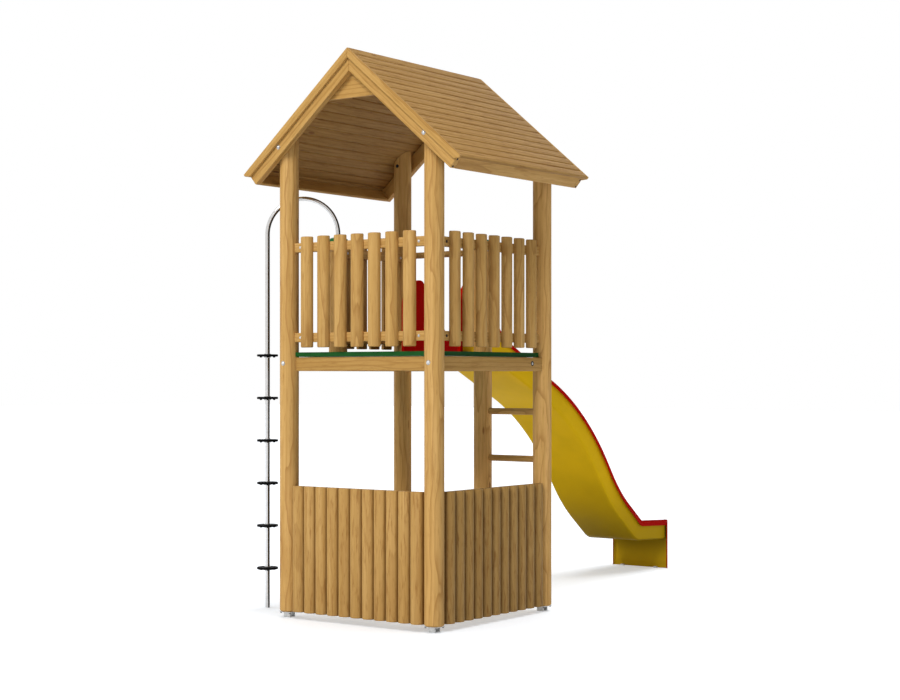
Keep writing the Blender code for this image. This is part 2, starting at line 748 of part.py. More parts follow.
def slide_path():
    """Stations along the slide's underside: (y, z, slope angle), with each bend as an arc."""
    corners = [
        Vector((SLIDE_START, SLIDE_UNDERSIDE)),
        Vector((HALF_Y + SLIDE_FIRST_BEND_OUT, SLIDE_UNDERSIDE)),
        Vector((HALF_Y + SLIDE_MIDDLE_BEND_OUT, DECK_TOP - SLIDE_MIDDLE_BEND_DROP)),
        Vector((HALF_Y + SLIDE_LOWER_BEND_OUT, SLIDE_LOWER_BEND_HEIGHT)),
        Vector((HALF_Y + SLIDE_LAST_BEND_OUT, SLIDE_LAST_BEND_HEIGHT)),
        Vector((SLIDE_END - END_PANEL_DEPTH - CLEARANCE, SLIDE_END_HEIGHT)),
    ]
    last_radius = SLIDE_END_DEPTH + SLIDE_LAST_RIM_RADIUS
    radii = (SLIDE_FIRST_RADIUS, SLIDE_MIDDLE_RADIUS, SLIDE_LOWER_RADIUS, last_radius)
    stations = []
    for before, corner, after, radius in zip(corners, corners[1:], corners[2:], radii):
        into = (corner - before).normalized()
        out = (after - corner).normalized()
        start_angle = math.atan2(into.y, into.x)
        turn = math.atan2(out.y, out.x) - start_angle
        tangent = abs(radius * math.tan(turn / 2))
        start = corner - into * tangent
        side = math.copysign(1, turn)
        centre = start + Vector((-into.y, into.x)) * side * radius
        steps = max(2, round(abs(turn) / SLIDE_BEND_STEP))
        for i in range(steps + 1):
            angle = start_angle + turn * i / steps
            stations.append((*(centre + Vector((math.sin(angle), -math.cos(angle))) * side * radius), angle))
    # The last section stands upright against the end panel.
    stations.append((*corners[-1], 0.0))
    return entry_stations(stations[0][0]) + stations


def entry_stations(bend_start):
    """Level stations of the slide's entry, closer together where the wing's front is round."""
    rounded = [WING_CREST - (WING_CREST - SLIDE_START) * math.cos(math.radians(a)) for a in WING_STATIONS]
    return [(y, SLIDE_UNDERSIDE, 0.0) for y in rounded if y < bend_start - STATION_GAP]


def rim_height(y):
    """The height of the slide's side over its underside: wings at the entry, an even rim, a higher end."""
    if y < WING_CREST:
        share = (WING_CREST - y) / (WING_CREST - SLIDE_START)
        return WING_FRONT_HEIGHT + (WING_HEIGHT - WING_FRONT_HEIGHT) * math.sqrt(max(0, 1 - share**2))
    t = min(1, (y - WING_CREST) / (WING_END - WING_CREST))
    even = SLIDE_DEPTH + (SLIDE_END_DEPTH - SLIDE_DEPTH) * run_out_share(y)
    return even + (WING_HEIGHT - SLIDE_DEPTH) * (1 - t) ** 4 * (1 + 4 * t)


def run_out_share(y):
    """How far the rim has grown from its form on the slope, 0, to that of the run-out, 1."""
    return min(1, max(0, (y - RUN_OUT_START) / (RUN_OUT_FULL - RUN_OUT_START)))


def slide_section(height, lip):
    """Half of the slide's section, from the middle out: (x, height) of the bed, wall, flange and lip."""
    wall = SLIDE_WIDTH / 2
    points = [(0, 0)]
    for degrees in (0, 30, 60, 90):
        angle = math.radians(degrees)
        inward = SLIDE_CORNER * (1 - math.sin(angle))
        points.append((wall - inward, SLIDE_CORNER * (1 - math.cos(angle))))
    edge = SLIDE_RIM_HALF - SLIDE_SHELL
    points += [(wall, height), (edge, height), (edge, height - lip)]
    return points


def build_slide():
    """The moulded slide: half a shell lofted along its path, thickened and mirrored."""
    bm = bmesh.new()
    rows = []
    for y, z, angle in slide_path():
        up = (-math.sin(angle), math.cos(angle))
        lip = SLIDE_LIP + (SLIDE_END_LIP - SLIDE_LIP) * run_out_share(y)
        section = slide_section(rim_height(y), lip)
        rows.append([bm.verts.new((x, y + up[0] * h, z + up[1] * h)) for x, h in section])
    for row, following in zip(rows, rows[1:]):
        for i in range(len(row) - 1):
            bm.faces.new((row[i], following[i], following[i + 1], row[i + 1]))
    slide = mesh_object("slide", bm, closed=False)
    for polygon in slide.data.polygons:
        polygon.use_smooth = True
    mirror = slide.modifiers.new("mirror", "MIRROR")
    mirror.use_axis = (True, False, False)
    mirror.merge_threshold = 0.0001
    shell = slide.modifiers.new("shell", "SOLIDIFY")
    shell.thickness = SLIDE_SHELL
    shell.offset = -1
    shell.use_even_offset = True
    shell.thickness_clamp = 1
    place(slide, "slide_yellow", (SLIDE_X, 0, 0))


def end_panel_outline(inset, bottom):
    """The end panel seen from the front, drawn in by an inset, with the chute's opening in its top."""
    rim = SLIDE_RIM_HALF - inset
    top = SLIDE_END_HEIGHT + SLIDE_END_DEPTH + SLIDE_SHELL - inset
    wall = SLIDE_WIDTH / 2 - SLIDE_SHELL + inset
    bed = SLIDE_END_HEIGHT + SLIDE_SHELL - inset
    outer_round = END_PANEL_CORNER - inset
    inner_round = SLIDE_CORNER - SLIDE_SHELL + inset
    half = [(rim, bottom)]
    for degrees in (0, 30, 60, 90):
        angle = math.radians(degrees)
        half.append((rim - outer_round * (1 - math.cos(angle)), top - outer_round * (1 - math.sin(angle))))
    half.append((wall, top))
    for degrees in (0, 30, 60, 90):
        angle = math.radians(degrees)
        half.append((wall - inner_round * (1 - math.cos(angle)), bed + inner_round * (1 - math.sin(angle))))
    return half + [(-x, z) for x, z in half[::-1]]


def build_end_panel():
    """The panel that carries the slide's end: a face with a turned-back edge, down to the ground."""
    back = -(SLIDE_END - END_PANEL_DEPTH)
    face = -SLIDE_END
    panel = outline_solid("slide_end_panel", end_panel_outline(0, 0), face, back, FACE_FRONT)
    place(panel, "slide_red", (SLIDE_X, 0, 0))
    pocket = outline_solid(
        "slide_end_pocket",
        end_panel_outline(SLIDE_SHELL, -CUT_MARGIN),
        face + SLIDE_SHELL,
        back + CUT_MARGIN,
        FACE_FRONT,
        CUTTERS,
    )
    boolean(panel, as_cutter(place(pocket, None, (SLIDE_X, 0, 0))), "DIFFERENCE")


clear_scene()
ROOT = add_root()
MATERIALS = make_materials()
POSTS = build_posts()
build_feet()
build_deck()
build_beams()
build_railings()
build_walls()
build_bars(POSTS)
build_caps()
build_pole()
build_discs()
build_roof()
build_slide()
build_end_panel()
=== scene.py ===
"""The looks of the timber play tower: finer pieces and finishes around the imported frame.

Metres, +Z up, in the frame's own axes: X runs along the front gable, Y from the front gable to the
rear, where the slide leaves. Every piece of wood is made around its own long axis first, and keeps
that place as its grain, so that the figure of the wood runs along each piece.
"""

import math
import random

import bmesh
import bpy
from mathutils import Matrix, Vector


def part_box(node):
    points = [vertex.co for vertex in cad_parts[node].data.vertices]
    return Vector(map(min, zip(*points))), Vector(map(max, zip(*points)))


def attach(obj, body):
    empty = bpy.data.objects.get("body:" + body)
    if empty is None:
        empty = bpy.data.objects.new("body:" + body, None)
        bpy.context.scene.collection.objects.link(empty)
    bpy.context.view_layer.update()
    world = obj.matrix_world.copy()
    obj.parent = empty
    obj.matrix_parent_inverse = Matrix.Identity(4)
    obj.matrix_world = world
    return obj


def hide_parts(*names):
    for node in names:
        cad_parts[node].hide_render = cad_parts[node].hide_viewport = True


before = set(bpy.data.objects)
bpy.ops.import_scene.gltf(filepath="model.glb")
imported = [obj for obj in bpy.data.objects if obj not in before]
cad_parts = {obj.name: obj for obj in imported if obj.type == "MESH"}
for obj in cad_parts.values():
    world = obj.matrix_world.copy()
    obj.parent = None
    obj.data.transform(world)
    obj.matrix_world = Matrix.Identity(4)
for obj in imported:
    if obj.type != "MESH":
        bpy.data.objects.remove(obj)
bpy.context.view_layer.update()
BODY = "root"


def centre(node):
    low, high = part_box(node)
    return (low + high) / 2


# Places and sizes that the frame gives.
LEFT, FRONT = centre("post_front_left").xy
RIGHT, REAR = centre("post_rear_right").xy
MIDDLE_X, MIDDLE_Y = (LEFT + RIGHT) / 2, (FRONT + REAR) / 2
MID_POST_X = centre("post_mid").x
SHORT_POST_Y = centre("post_short").y
POST_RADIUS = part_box("post_front_left")[1].x - LEFT
POST_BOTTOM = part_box("post_front_left")[0].z
SHORT_POST_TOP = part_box("post_short")[1].z
DECK_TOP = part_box("deck")[1].z
ROOF_FRONT, ROOF_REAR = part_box("roof_right")[0].y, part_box("roof_right")[1].y
RIDGE_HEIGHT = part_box("rafter_front_right")[1].z
POLE_X, POLE_Y = centre("disc_1").xy
SLIDE_X = centre("slide").x
SLIDE_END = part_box("slide_end_panel")[1].y

# Shared small sizes: air between pieces, the least rounding and the least radius of a turned profile.
CLEARANCE = 0.0003
FINE_EDGE = 0.001
AXIS = 0.0001
SIDES = ((-1, "left"), (1, "right"))

# The photograph's view.
PHOTO_WIDTH, PHOTO_HEIGHT = 900, 700
FOCAL_PIXELS = 1741.5
HORIZON_PIXEL = 375.44
CAMERA_PLACE = (7.286, -8.2795, 1.521)
CAMERA_TURN = math.radians(36.08)
SENSOR_WIDTH = 36

# The studio. Strengths are such that a surface turned to the key light renders about as its colour.
WHITE = (1, 1, 1, 1)
FLOOR_REACH = 60
FLOOR_TONE = (0.78, 0.82, 0.87)
FLOOR_GLOW = 0.43
AMBIENT = 0.385
DARK_SIDE = (0.4, 0.9, 0.1)
DARK_SIDE_LEVEL = 0.12
# Suns: strength, angle in degrees, and the way they shine.
KEY_LIGHT = (2.35, 28, (-0.05, 0.99, -0.78))
REAR_FILL = (0.7, 60, (0.5, -0.8, -0.6))
FLOOR_LIGHT = (2.1, 50, (-0.05, -0.05, -1.0))

# Posts.
POST_SIDES = 72
POST_CHAMFER = 0.008

# Railings and log walls: the part's own sizes, with finer rounding.
RAIL_HEIGHT = 0.058
RAIL_THICKNESS = 0.045
RAIL_FACE = 0.015
RAIL_EDGE = 0.003
RAIL_SEAT = 0.985  # A rail ends at this share of the way from the post's middle to its face.
RAIL_LEVELS = (DECK_TOP + 0.092, DECK_TOP + 0.655)
BATTEN_DIAMETER = 0.09
BATTEN_DEPTH = 0.045
BATTEN_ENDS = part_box("railing_front")[0].z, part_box("railing_front")[1].z
BATTEN_CHAMFER = 0.007
BATTEN_EDGE = 0.002
BATTEN_PITCH_FRONT = 0.134
BATTEN_PITCH_SIDE = 0.138
BATTENS_WIDE = 7
BATTENS_NARROW = 4
WALL_LIFT = 0.006
WALL_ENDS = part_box("wall_front")[0].z + WALL_LIFT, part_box("wall_front")[1].z
WALL_LOGS = 11
WALL_LOG_GAP = 0.0006
WALL_LOG_DEPTH = 0.05
WALL_LOG_CHAMFER = 0.005
WALL_LOG_EDGE = 0.001
WALL_RAIL_LEVELS = (0.16, 0.7)
LOG_SIDES = 44

# Beams.
BEAM_EDGE = 0.004
DECK_SHADOW_GAP = 0.003

# Roof: measured along the slope from the ridge.
ROOF_ANGLE = math.radians(40.2)
SLOPE_LENGTH = (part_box("roof_right")[1].x - MIDDLE_X) / math.cos(ROOF_ANGLE)
ROOF_BOARDS = 16
BOARD_THICKNESS = 0.022
BOARD_ROUND = 0.009
BOARD_GAP = 0.0028
TONGUE_WIDTH = 0.016
TONGUE_THICKNESS = 0.006
TONGUE_INSET = 0.002
RAFTER_THICKNESS = 0.045
RAFTER_DEPTH = 0.107
RAFTER_EDGE = 0.003
EAVES_OVERHANG = 0.024
TRIM_THICKNESS = 0.018
TRIM_DEPTH = 0.046
TRIM_NOSE = 0.016
TRIM_END_CUT = 0.03
FASCIA_THICKNESS = 0.02
FASCIA_EDGE = 0.002
GUSSET_THICKNESS = 0.03
GUSSET_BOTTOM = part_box("gusset_front")[0].z
UNDER_BOARDS = BOARD_THICKNESS + CLEARANCE

# Ladder and bar.
RUNG_DIAMETER = 0.042
RUNG_SIDES = 40

# Disc pole.
POLE_DIAMETER = 0.03
POLE_SIDES = 32
POLE_LIFT = 0.0005
ARCH_STEPS = 60
ARCH_SPRINGING = SHORT_POST_TOP + 0.048
DISC_DIAMETER = 0.138
DISC_THICKNESS = 0.015
DISC_EDGE = 0.005
COLLAR_DIAMETER = 0.044
COLLAR_DROP = 0.007
COLLAR_RISE = 0.004
COLLAR_STEPS = 40
DISC_NUT_RING = 0.043
# A nut's (radius, drop) points, down to the crown of its domed end.
DISC_NUT = ((0.008, 0.0045), (0.0066, 0.006), (AXIS, 0.0066))
TURN_STEPS = 64

# Fixings: (radius, height) of each domed head on its washer and of each plain disc, then their places.
RAFTER_BOLT = (0.011, 0.007)
RAFTER_NUT = (0.009, 0.005)
RAFTER_NAIL = (0.005, 0.002)
BEAM_BOLT = (0.007, 0.005)
BEAM_PLATE = (0.016, 0.0008)
RAIL_BOLT = (0.007, 0.004)
FOOT_SCREW = (0.006, 0.005)
WASHER_SHARE = 1.3
WASHER_THICKNESS = 0.0015
HEAD_SEAT = 0.002
HEAD_STEPS = 24
NAIL_STEPS = 16
NUT_SIDES = 6
ANCHOR_BLOCK = Vector((0.028, 0.024, 0.012))
ANCHOR_EDGE = 0.002
RAFTER_BOLT_HEIGHT = 2.949
DECK_BOLT_HEIGHT = 1.597
BEAM_NUT_FROM_POST = 0.165
RAIL_BOLT_FROM_POST = 0.104
RAIL_NUT_FROM_POST = 0.0615
RAFTER_NAIL_OUT = 0.088
RAFTER_NAILS_BELOW = (0.043, 0.094)
ANCHOR_OUT = 0.15
FOOT_SCREW_OUT = 0.037
FOOT_PLATE = 0.005
FEET = ["foot_front_left", "foot_front_right", "foot_rear_left", "foot_rear_right", "foot_mid"]

# Caps.
CAP_DIAMETER = 0.132
CAP_SKIRT = 0.012
CAP_RISE = 0.022
CAP_CROWN = 0.006

# Slide: the part's path and section, with finer stations and rounded edges.
SLIDE_START = REAR - 0.131
SLIDE_SHELL = 0.005
SLIDE_WIDTH = 0.453
SLIDE_FLANGE = 0.02
SLIDE_LIP = 0.028
SLIDE_DEPTH = 0.144
SLIDE_END_LIP = 0.045
SLIDE_END_DEPTH = 0.151
SLIDE_CORNER = 0.02
SLIDE_INNER_ROUND = 0.011
SLIDE_OUTER_ROUND = 0.006
SLIDE_END_OUTER_ROUND = 0.013
SLIDE_INNER_FILLET = 0.003
SLIDE_ARC_STEPS = 6
RIM_ARC_STEPS = 5
SLIDE_CORNERS_OUT = (0.2165, 1.344, 1.841, 2.2185)
SLIDE_CORNER_HEIGHTS = (DECK_TOP + CLEARANCE, DECK_TOP - 0.5, 0.527, 0.25)
SLIDE_RADII = (0.5, 1.86, 1.37, 0.181)
SLIDE_END_HEIGHT = 0.229
SLIDE_STEP = math.radians(1.5)
ENTRY_STEPS, ENTRY_STEP = 24, math.radians(4.5)
RIM_COVER = 0.012
RIM_PROUD = 0.0004
WING_HEIGHT = 0.501
WING_FRONT_HEIGHT = 0.311
WING_CREST = REAR + 0.0605
WING_END = REAR + 0.464
RUN_OUT_START = REAR + SLIDE_CORNERS_OUT[2]
RUN_OUT_FULL = REAR + SLIDE_CORNERS_OUT[3]
END_PANEL_DEPTH = 0.025
END_PANEL_CORNER = 0.012
END_PANEL_ROUND = 0.016
END_PANEL_SHELL = 0.004

# Finishes.
LIGHT_PINE = (0.66, 0.395, 0.14)
DARK_PINE = (0.54, 0.305, 0.09)
PINE_LINE = (0.36, 0.17, 0.042)
# How far off a log's middle the painted shade in its grooves begins and is full.
GROOVE_SHADE_START, GROOVE_SHADE_END = 0.034, 0.047
# Painted reflection on the polished steel: the way its darker faces turn, and their dark tone.
STEEL_REFLECTION_SIDE = (0.733, 0.68, 0.0)
STEEL_REFLECTION_TONE = (0.035, 0.028, 0.022)
# Painted shade on the gel coats: the tone of the shade, and for the yellow two heights and the share of shade
# at each, all over and on its underside.
PAINTED_SHADE_TONE = 0.25
YELLOW_HEIGHT_SHADE = (0.2, 0.8, 0.6, 0.02)
YELLOW_UNDERSIDE_SHADE = (0.2, 0.95, 0.88, 0.1)

# How far off the pith each kind of piece may lie, and the length of trunk that pieces are cut from.
PITH_SPREAD = {
    "post": 0.035, "log": 0.02, "rail": 0.06, "beam": 0.05, "rung": 0.03,
    "roof": 0.09, "rafter": 0.06, "gusset": 0.1, "fascia": 0.07,
}
TRUNK_LENGTH = 60

RANDOM = random.Random(7)
SCENE = bpy.context.scene
COLLECTION = bpy.data.collections.new("play_tower")
SCENE.collection.children.link(COLLECTION)


# Shapes


def circle(radius, sides):
    """A round outline, counter-clockwise."""
    turns = [math.tau * i / sides for i in range(sides)]
    return [Vector((radius * math.cos(a), radius * math.sin(a))) for a in turns]


def corner_arc(middle, radius, start, end, steps=4):
    """Points of an arc between two angles in degrees."""
    angles = [math.radians(start + (end - start) * i / steps) for i in range(steps + 1)]
    return [Vector((middle[0] + radius * math.cos(a), middle[1] + radius * math.sin(a))) for a in angles]


def rounded_rectangle(low, high, radius):
    """A rectangle with round corners, counter-clockwise from its lower right corner."""
    left, right = low[0] + radius, high[0] - radius
    bottom, top = low[1] + radius, high[1] - radius
    points = corner_arc((right, bottom), radius, -90, 0)
    points += corner_arc((right, top), radius, 0, 90)
    points += corner_arc((left, top), radius, 90, 180)
    return points + corner_arc((left, bottom), radius, 180, 270)


def half_round(diameter, depth, edge):
    """A log's section, round towards -Y, with its flat back on Y = 0 and its back edges eased."""
    radius = diameter / 2
    middle = radius - depth
    end = math.degrees(math.asin(-middle / radius))
    arc = corner_arc((0, middle), radius, -180 - end, end, LOG_SIDES)
    left, right = arc[0].x, arc[-1].x
    back = [(right, -edge), (right - edge, 0), (left + edge, 0), (left, -edge)]
    return [p for p in arc if p.y < -edge] + [Vector(p) for p in back]


def drawn_in(outline, by):
    """An outline moved in by a distance, each corner along its bisector."""
    moved = []
    for before, point, after in zip(outline[-1:] + outline[:-1], outline, outline[1:] + outline[:1]):
        into, out = (point - before).normalized(), (after - point).normalized()
        normal = Vector((-into.y - out.y, into.x + out.x))
        if normal.length < 1e-9:
            moved.append(point.copy())
            continue
        normal.normalize()
        lean = max(0.4, normal.dot(Vector((-into.y, into.x))))
        moved.append(point + normal * by / lean)
    return moved


def strip(first, second, count):
    """The faces between two closed rings of points, each ring given by its first point."""
    turns = [(i, (i + 1) % count) for i in range(count)]
    return [[first + i, first + j, second + j, second + i] for i, j in turns]


def loft_faces(levels, count):
    """The faces round a stack of closed rings: one end, the strips level by level, the other end."""
    last = (levels - 1) * count
    faces = [list(range(count))[::-1]]
    for first in range(0, last, count):
        faces += strip(first, first + count, count)
    return faces + [list(range(last, last + count))]


class Pieces:
    """Several solids gathered into one mesh, each with its own grain."""

    def __init__(self):
        self.points = []
        self.faces = []
        self.grain = []
        self.own = []
        self.marks = []

    def add(self, points, faces, place=Matrix(), grain=Vector(), marks=None):
        """Adds a solid made around its own origin, at its place. A mark picks a face's material."""
        first = len(self.points)
        self.points += [place @ Vector(p) for p in points]
        self.grain += [Vector(p) + grain for p in points]
        self.own += [Vector(p) for p in points]
        self.faces += [[first + i for i in face] for face in faces]
        self.marks += marks or [0] * len(faces)

    def extrude(self, outline, low, high, place=Matrix(), rounding=0.0, grain=Vector()):
        """Adds an outline made solid along its own Z, with its end edges rounded."""
        levels = [(low, 0.0), (high, 0.0)]
        if rounding:
            turns = [math.radians(30 * i) for i in range(4)]
            start = [(low + rounding * (1 - math.sin(t)), rounding * (1 - math.cos(t))) for t in turns]
            levels = start[::-1] + [(low + high - z, by) for z, by in start]
        points = []
        for z, by in levels:
            ring = drawn_in(outline, by) if by else outline
            points += [(p.x, p.y, z) for p in ring]
        self.add(points, loft_faces(len(levels), len(outline)), place, grain)

    def turn(self, profile, place=Matrix(), steps=TURN_STEPS):
        """Adds a closed profile of (radius, height) points turned about the vertical axis."""
        points, faces = [], []
        for i in range(steps):
            angle = math.tau * i / steps
            points += [(r * math.cos(angle), r * math.sin(angle), z) for r, z in profile]
            faces += strip(i * len(profile), (i + 1) % steps * len(profile), len(profile))
        self.add(points, faces, place)

    def object(self, name, finishes, slot, replaced=(), sharp=35):
        """Makes the mesh, gives it its finishes, and sets it on the tower."""
        mesh = bpy.data.meshes.new(name)
        mesh.from_pydata(self.points, [], self.faces)
        for word, values in (("grain", self.grain), ("own", self.own)):
            attribute = mesh.attributes.new(word, "FLOAT_VECTOR", "POINT")
            attribute.data.foreach_set("vector", [c for p in values for c in p])
        for finish in finishes:
            mesh.materials.append(MATERIALS[finish])
        mesh.polygons.foreach_set("material_index", self.marks)
        bm = bmesh.new()
        bm.from_mesh(mesh)
        bmesh.ops.remove_doubles(bm, verts=bm.verts, dist=0.00001)
        bmesh.ops.recalc_face_normals(bm, faces=bm.faces)
        bm.to_mesh(mesh)
        bm.free()
        mesh.shade_smooth()
        mesh.set_sharp_from_angle(angle=math.radians(sharp))
        obj = bpy.data.objects.new(name, mesh)
        COLLECTION.objects.link(obj)
        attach(obj, BODY)
        if replaced:
            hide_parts(*replaced)
        return obj


def own_grain(kind):
    """A fresh place in the wood for a piece: how far off the pith it lies, and how far along the trunk."""
    spread = PITH_SPREAD[kind]
    across = [RANDOM.uniform(-spread, spread) for _ in range(2)]
    return Vector((*across, RANDOM.uniform(0, TRUNK_LENGTH)))


def along_x(y, z):
    """Places a solid whose own Z runs along +X through a point of Y and Z."""
    return Matrix(((0, 0, 1, 0), (1, 0, 0, y), (0, 1, 0, z), (0, 0, 0, 1)))


def along_y(x, z):
    """Places a solid whose own Z runs along +Y, with its own X along +Z."""
    return Matrix(((0, 1, 0, x), (0, 0, 1, 0), (1, 0, 0, z), (0, 0, 0, 1)))


def facing(place, out):
    """Places a turned piece so that its own Z points out of a face."""
    return Matrix.Translation(place) @ Vector(out).to_track_quat("Z", "Y").to_matrix().to_4x4()


# Materials


class Nodes:
    """A short way to write the node tree of a material or a world."""

    def __init__(self, owner, shader):
        owner.use_nodes = True
        self.tree = owner.node_tree
        self.shader = self.tree.nodes[shader]

    def node(self, kind, inputs=None, **settings):
        made = self.tree.nodes.new(kind)
        for key, value in settings.items():
            setattr(made, key, value)
        for key, value in (inputs or {}).items():
            self.join(made.inputs[key], value)
        return made

    def join(self, socket, value):
        if isinstance(value, bpy.types.NodeSocket):
            self.tree.links.new(value, socket)
        else:
            socket.default_value = value

    def feed(self, socket, value):
        self.join(self.shader.inputs[socket], value)

    def attribute(self, name):
        return self.node("ShaderNodeAttribute", attribute_name=name).outputs["Vector"]

    def coordinates(self, kind="Object"):
        return self.node("ShaderNodeTexCoord").outputs[kind]

    def normal(self):
        return self.node("ShaderNodeNewGeometry").outputs["Normal"]

    def part(self, vector, axis):
        return self.node("ShaderNodeSeparateXYZ", {0: vector}).outputs["XYZ".index(axis)]

    def maths(self, operation, first, second=0.0):
        return self.node("ShaderNodeMath", {0: first, 1: second}, operation=operation).outputs[0]

    def times(self, first, second):
        return self.maths("MULTIPLY", first, second)

    def plus(self, first, second):
        return self.maths("ADD", first, second)

    def along(self, vector, way):
        made = self.node("ShaderNodeVectorMath", {0: vector, 1: way}, operation="DOT_PRODUCT")
        return made.outputs["Value"]

    def stretched(self, vector, scale):
        return self.node("ShaderNodeMapping", {"Vector": vector, "Scale": scale}).outputs["Vector"]

    def noise(self, vector, scale, detail=3.0, roughness=0.5):
        """Noise at one scale, or at a scale for each axis."""
        if isinstance(scale, tuple):
            vector, scale = self.stretched(vector, scale), 1.0
        inputs = {"Vector": vector, "Scale": scale, "Detail": detail, "Roughness": roughness}
        return self.node("ShaderNodeTexNoise", inputs).outputs["Fac"]

    def between(self, value, low, high, to_low=0.0, to_high=1.0, kind="SMOOTHSTEP"):
        inputs = {"Value": value, "From Min": low, "From Max": high, "To Min": to_low, "To Max": to_high}
        return self.node("ShaderNodeMapRange", inputs, interpolation_type=kind).outputs["Result"]

    def blend(self, share, first, second):
        return self.node("ShaderNodeMix", {0: share, 2: first, 3: second}).outputs[0]

    def mix(self, share, first, second):
        return self.node("ShaderNodeMix", {0: share, 6: first, 7: second}, data_type="RGBA").outputs[2]

    def bump(self, height, strength, distance):
        inputs = {"Height": height, "Strength": strength, "Distance": distance}
        self.feed("Normal", self.node("ShaderNodeBump", inputs).outputs["Normal"])


def toned(tone, by=1.0):
    """A colour from a (red, green, blue) tone, scaled as a whole or channel by channel."""
    factors = by if isinstance(by, tuple) else (by, by, by)
    return (*(c * f for c, f in zip(tone, factors)), 1.0)


def new_material(name):
    material = bpy.data.materials.new(name)
    return material, Nodes(material, "Principled BSDF")


def pine(
    name, tint, ring=0.021, roughness=0.55, groove_shade=0.0, knots=0.8, underside_shade=0.0, bends=0.9, flecked=0.42
):
    """Planed pine: growth rings, streaks, a few knots and fine fibres.

    Given a groove strength, the flanks of a half-round log darken towards the joints with its neighbours,
    painted shade in the grooves; given an underside strength, the wood that faces down darkens, painted
    shade.
    """
    light, dark, line = (toned(tone, tint) for tone in (LIGHT_PINE, DARK_PINE, PINE_LINE))
    material, n = new_material(name)
    place = n.attribute("grain")
    squares = [n.times(part, part) for part in (n.part(place, "X"), n.part(place, "Y"))]
    off_pith = n.maths("POWER", n.plus(*squares), 0.5)
    slow = n.noise(place, (6, 6, bends), 1.5)
    wavy = n.noise(place, (16, 16, 3.0), 2.0)
    drift = n.plus(n.times(slow, 0.07), n.times(wavy, 0.026))
    cells = {"Vector": n.stretched(place, (5.2, 5.2, 1.5)), "Scale": 1.0, "Randomness": 1.0}
    knot_distance = n.node("ShaderNodeTexVoronoi", cells).outputs["Distance"]
    pull = n.between(knot_distance, 0.0, 0.3, 0.012, 0.0)
    bent = n.plus(n.plus(off_pith, drift), pull)
    rings = n.maths("FRACT", n.maths("DIVIDE", bent, ring))
    late = n.times(n.maths("POWER", rings, 5.0), n.between(rings, 0.93, 1.0, 1.0, 0.0))
    streaks = n.noise(place, (70, 70, 1.2), 3.0, 0.6)
    blotches = n.noise(place, (9, 9, 1.6), 2.0)
    fibres = n.noise(place, (420, 420, 9), 2.0, 0.6)
    flecks = n.noise(place, (70, 70, 8), 3.0, 0.65)
    tone = n.mix(n.between(streaks, 0.3, 0.7), light, dark)
    tone = n.mix(n.between(blotches, 0.35, 0.7, 0.0, 0.5), tone, dark)
    tone = n.mix(n.times(late, 0.5 if groove_shade else 0.95), tone, line)
    tone = n.mix(n.between(flecks, 0.48, 0.72, 0.0, flecked), tone, line)
    tone = n.mix(n.between(fibres, 0.5, 0.78, 0.0, 0.22), tone, line)
    knot = n.between(knot_distance, 0.03, 0.06, knots, 0.0)
    tone = n.mix(knot, tone, toned(line, (0.62, 0.52, 0.5)))
    # Painted shade: the flanks of a log darken towards the grooves between logs.
    if groove_shade:
        off_middle = n.maths("ABSOLUTE", n.part(n.attribute("own"), "X"))
        painted_groove_shade = n.between(off_middle, GROOVE_SHADE_START, GROOVE_SHADE_END, 0.0, groove_shade)
        tone = n.mix(painted_groove_shade, tone, toned(line, (0.5, 0.5, 0.4)))
    # Painted shade on the faces that turn down, such as the underside of the roof.
    if underside_shade:
        under = n.between(n.part(n.normal(), "Z"), -0.5, 0.1, underside_shade, 0.0)
        tone = n.mix(under, tone, toned(line, (0.5, 0.44, 0.4)))
    n.feed("Base Color", tone)
    n.feed("Roughness", n.between(fibres, 0.2, 0.8, roughness - 0.06, roughness + 0.08, "LINEAR"))
    n.feed("Specular IOR Level", 0.15)
    n.bump(n.plus(n.times(fibres, 0.5), n.times(late, 0.35)), 0.3, 0.001)
    return material


def steel(name, tint, roughness, spangle=0.0, painted_reflection=0.0):
    """Steel, mottled where it is galvanised. Where it is polished, the faces turned one way are darker: a
    painted reflection of dark surroundings.
    """
    material, n = new_material(name)
    mottle = n.noise(n.coordinates(), (60, 60, 60), 4.0, 0.6)
    tone = n.mix(n.between(mottle, 0.35, 0.65), toned(tint, 0.92 - 0.2 * spangle), toned(tint))
    # Painted reflection: faces turned one way take a dark tone.
    turned = n.along(n.normal(), STEEL_REFLECTION_SIDE)
    n.feed("Base Color", n.mix(n.between(turned, 0.05, 0.38, 0.0, painted_reflection), tone, toned(STEEL_REFLECTION_TONE)))
    n.feed("Metallic", 1.0)
    n.feed("Roughness", n.between(mottle, 0.3, 0.7, roughness * 0.85, roughness * 1.15, "LINEAR"))
    return material


def moulded(name, tint, gloss, height_shade, under=None, roughness=0.3):
    """Glass fibre gel coat, slightly wavy and rubbed, with painted shade that darkens it by height, more so
    on its underside.

    The height shade and the underside shade: two heights, and the share of the painted shade tone at each.
    """
    material, n = new_material(name)
    place = n.coordinates()
    cloud = n.noise(place, 3.0)
    rubbed = n.noise(place, (30, 6, 6), 4.0, 0.65)
    tone = n.mix(n.between(cloud, 0.35, 0.65), toned(tint, 0.9), toned(tint))
    height = n.part(place, "Z")
    # Painted shade that changes with height, and more of it on faces turned down.
    share = n.between(height, *height_shade)
    if under:
        downwards = n.between(n.part(n.normal(), "Z"), -0.6, -0.2, 1.0, 0.0)
        more = n.maths("SUBTRACT", n.between(height, *under), share)
        share = n.plus(share, n.times(downwards, more))
    n.feed("Base Color", n.mix(share, tone, toned(tint, PAINTED_SHADE_TONE)))
    n.feed("Roughness", n.between(rubbed, 0.3, 0.8, roughness, roughness + 0.12, "LINEAR"))
    n.feed("Specular IOR Level", gloss)
    n.bump(cloud, 0.05, 0.01)
    return material


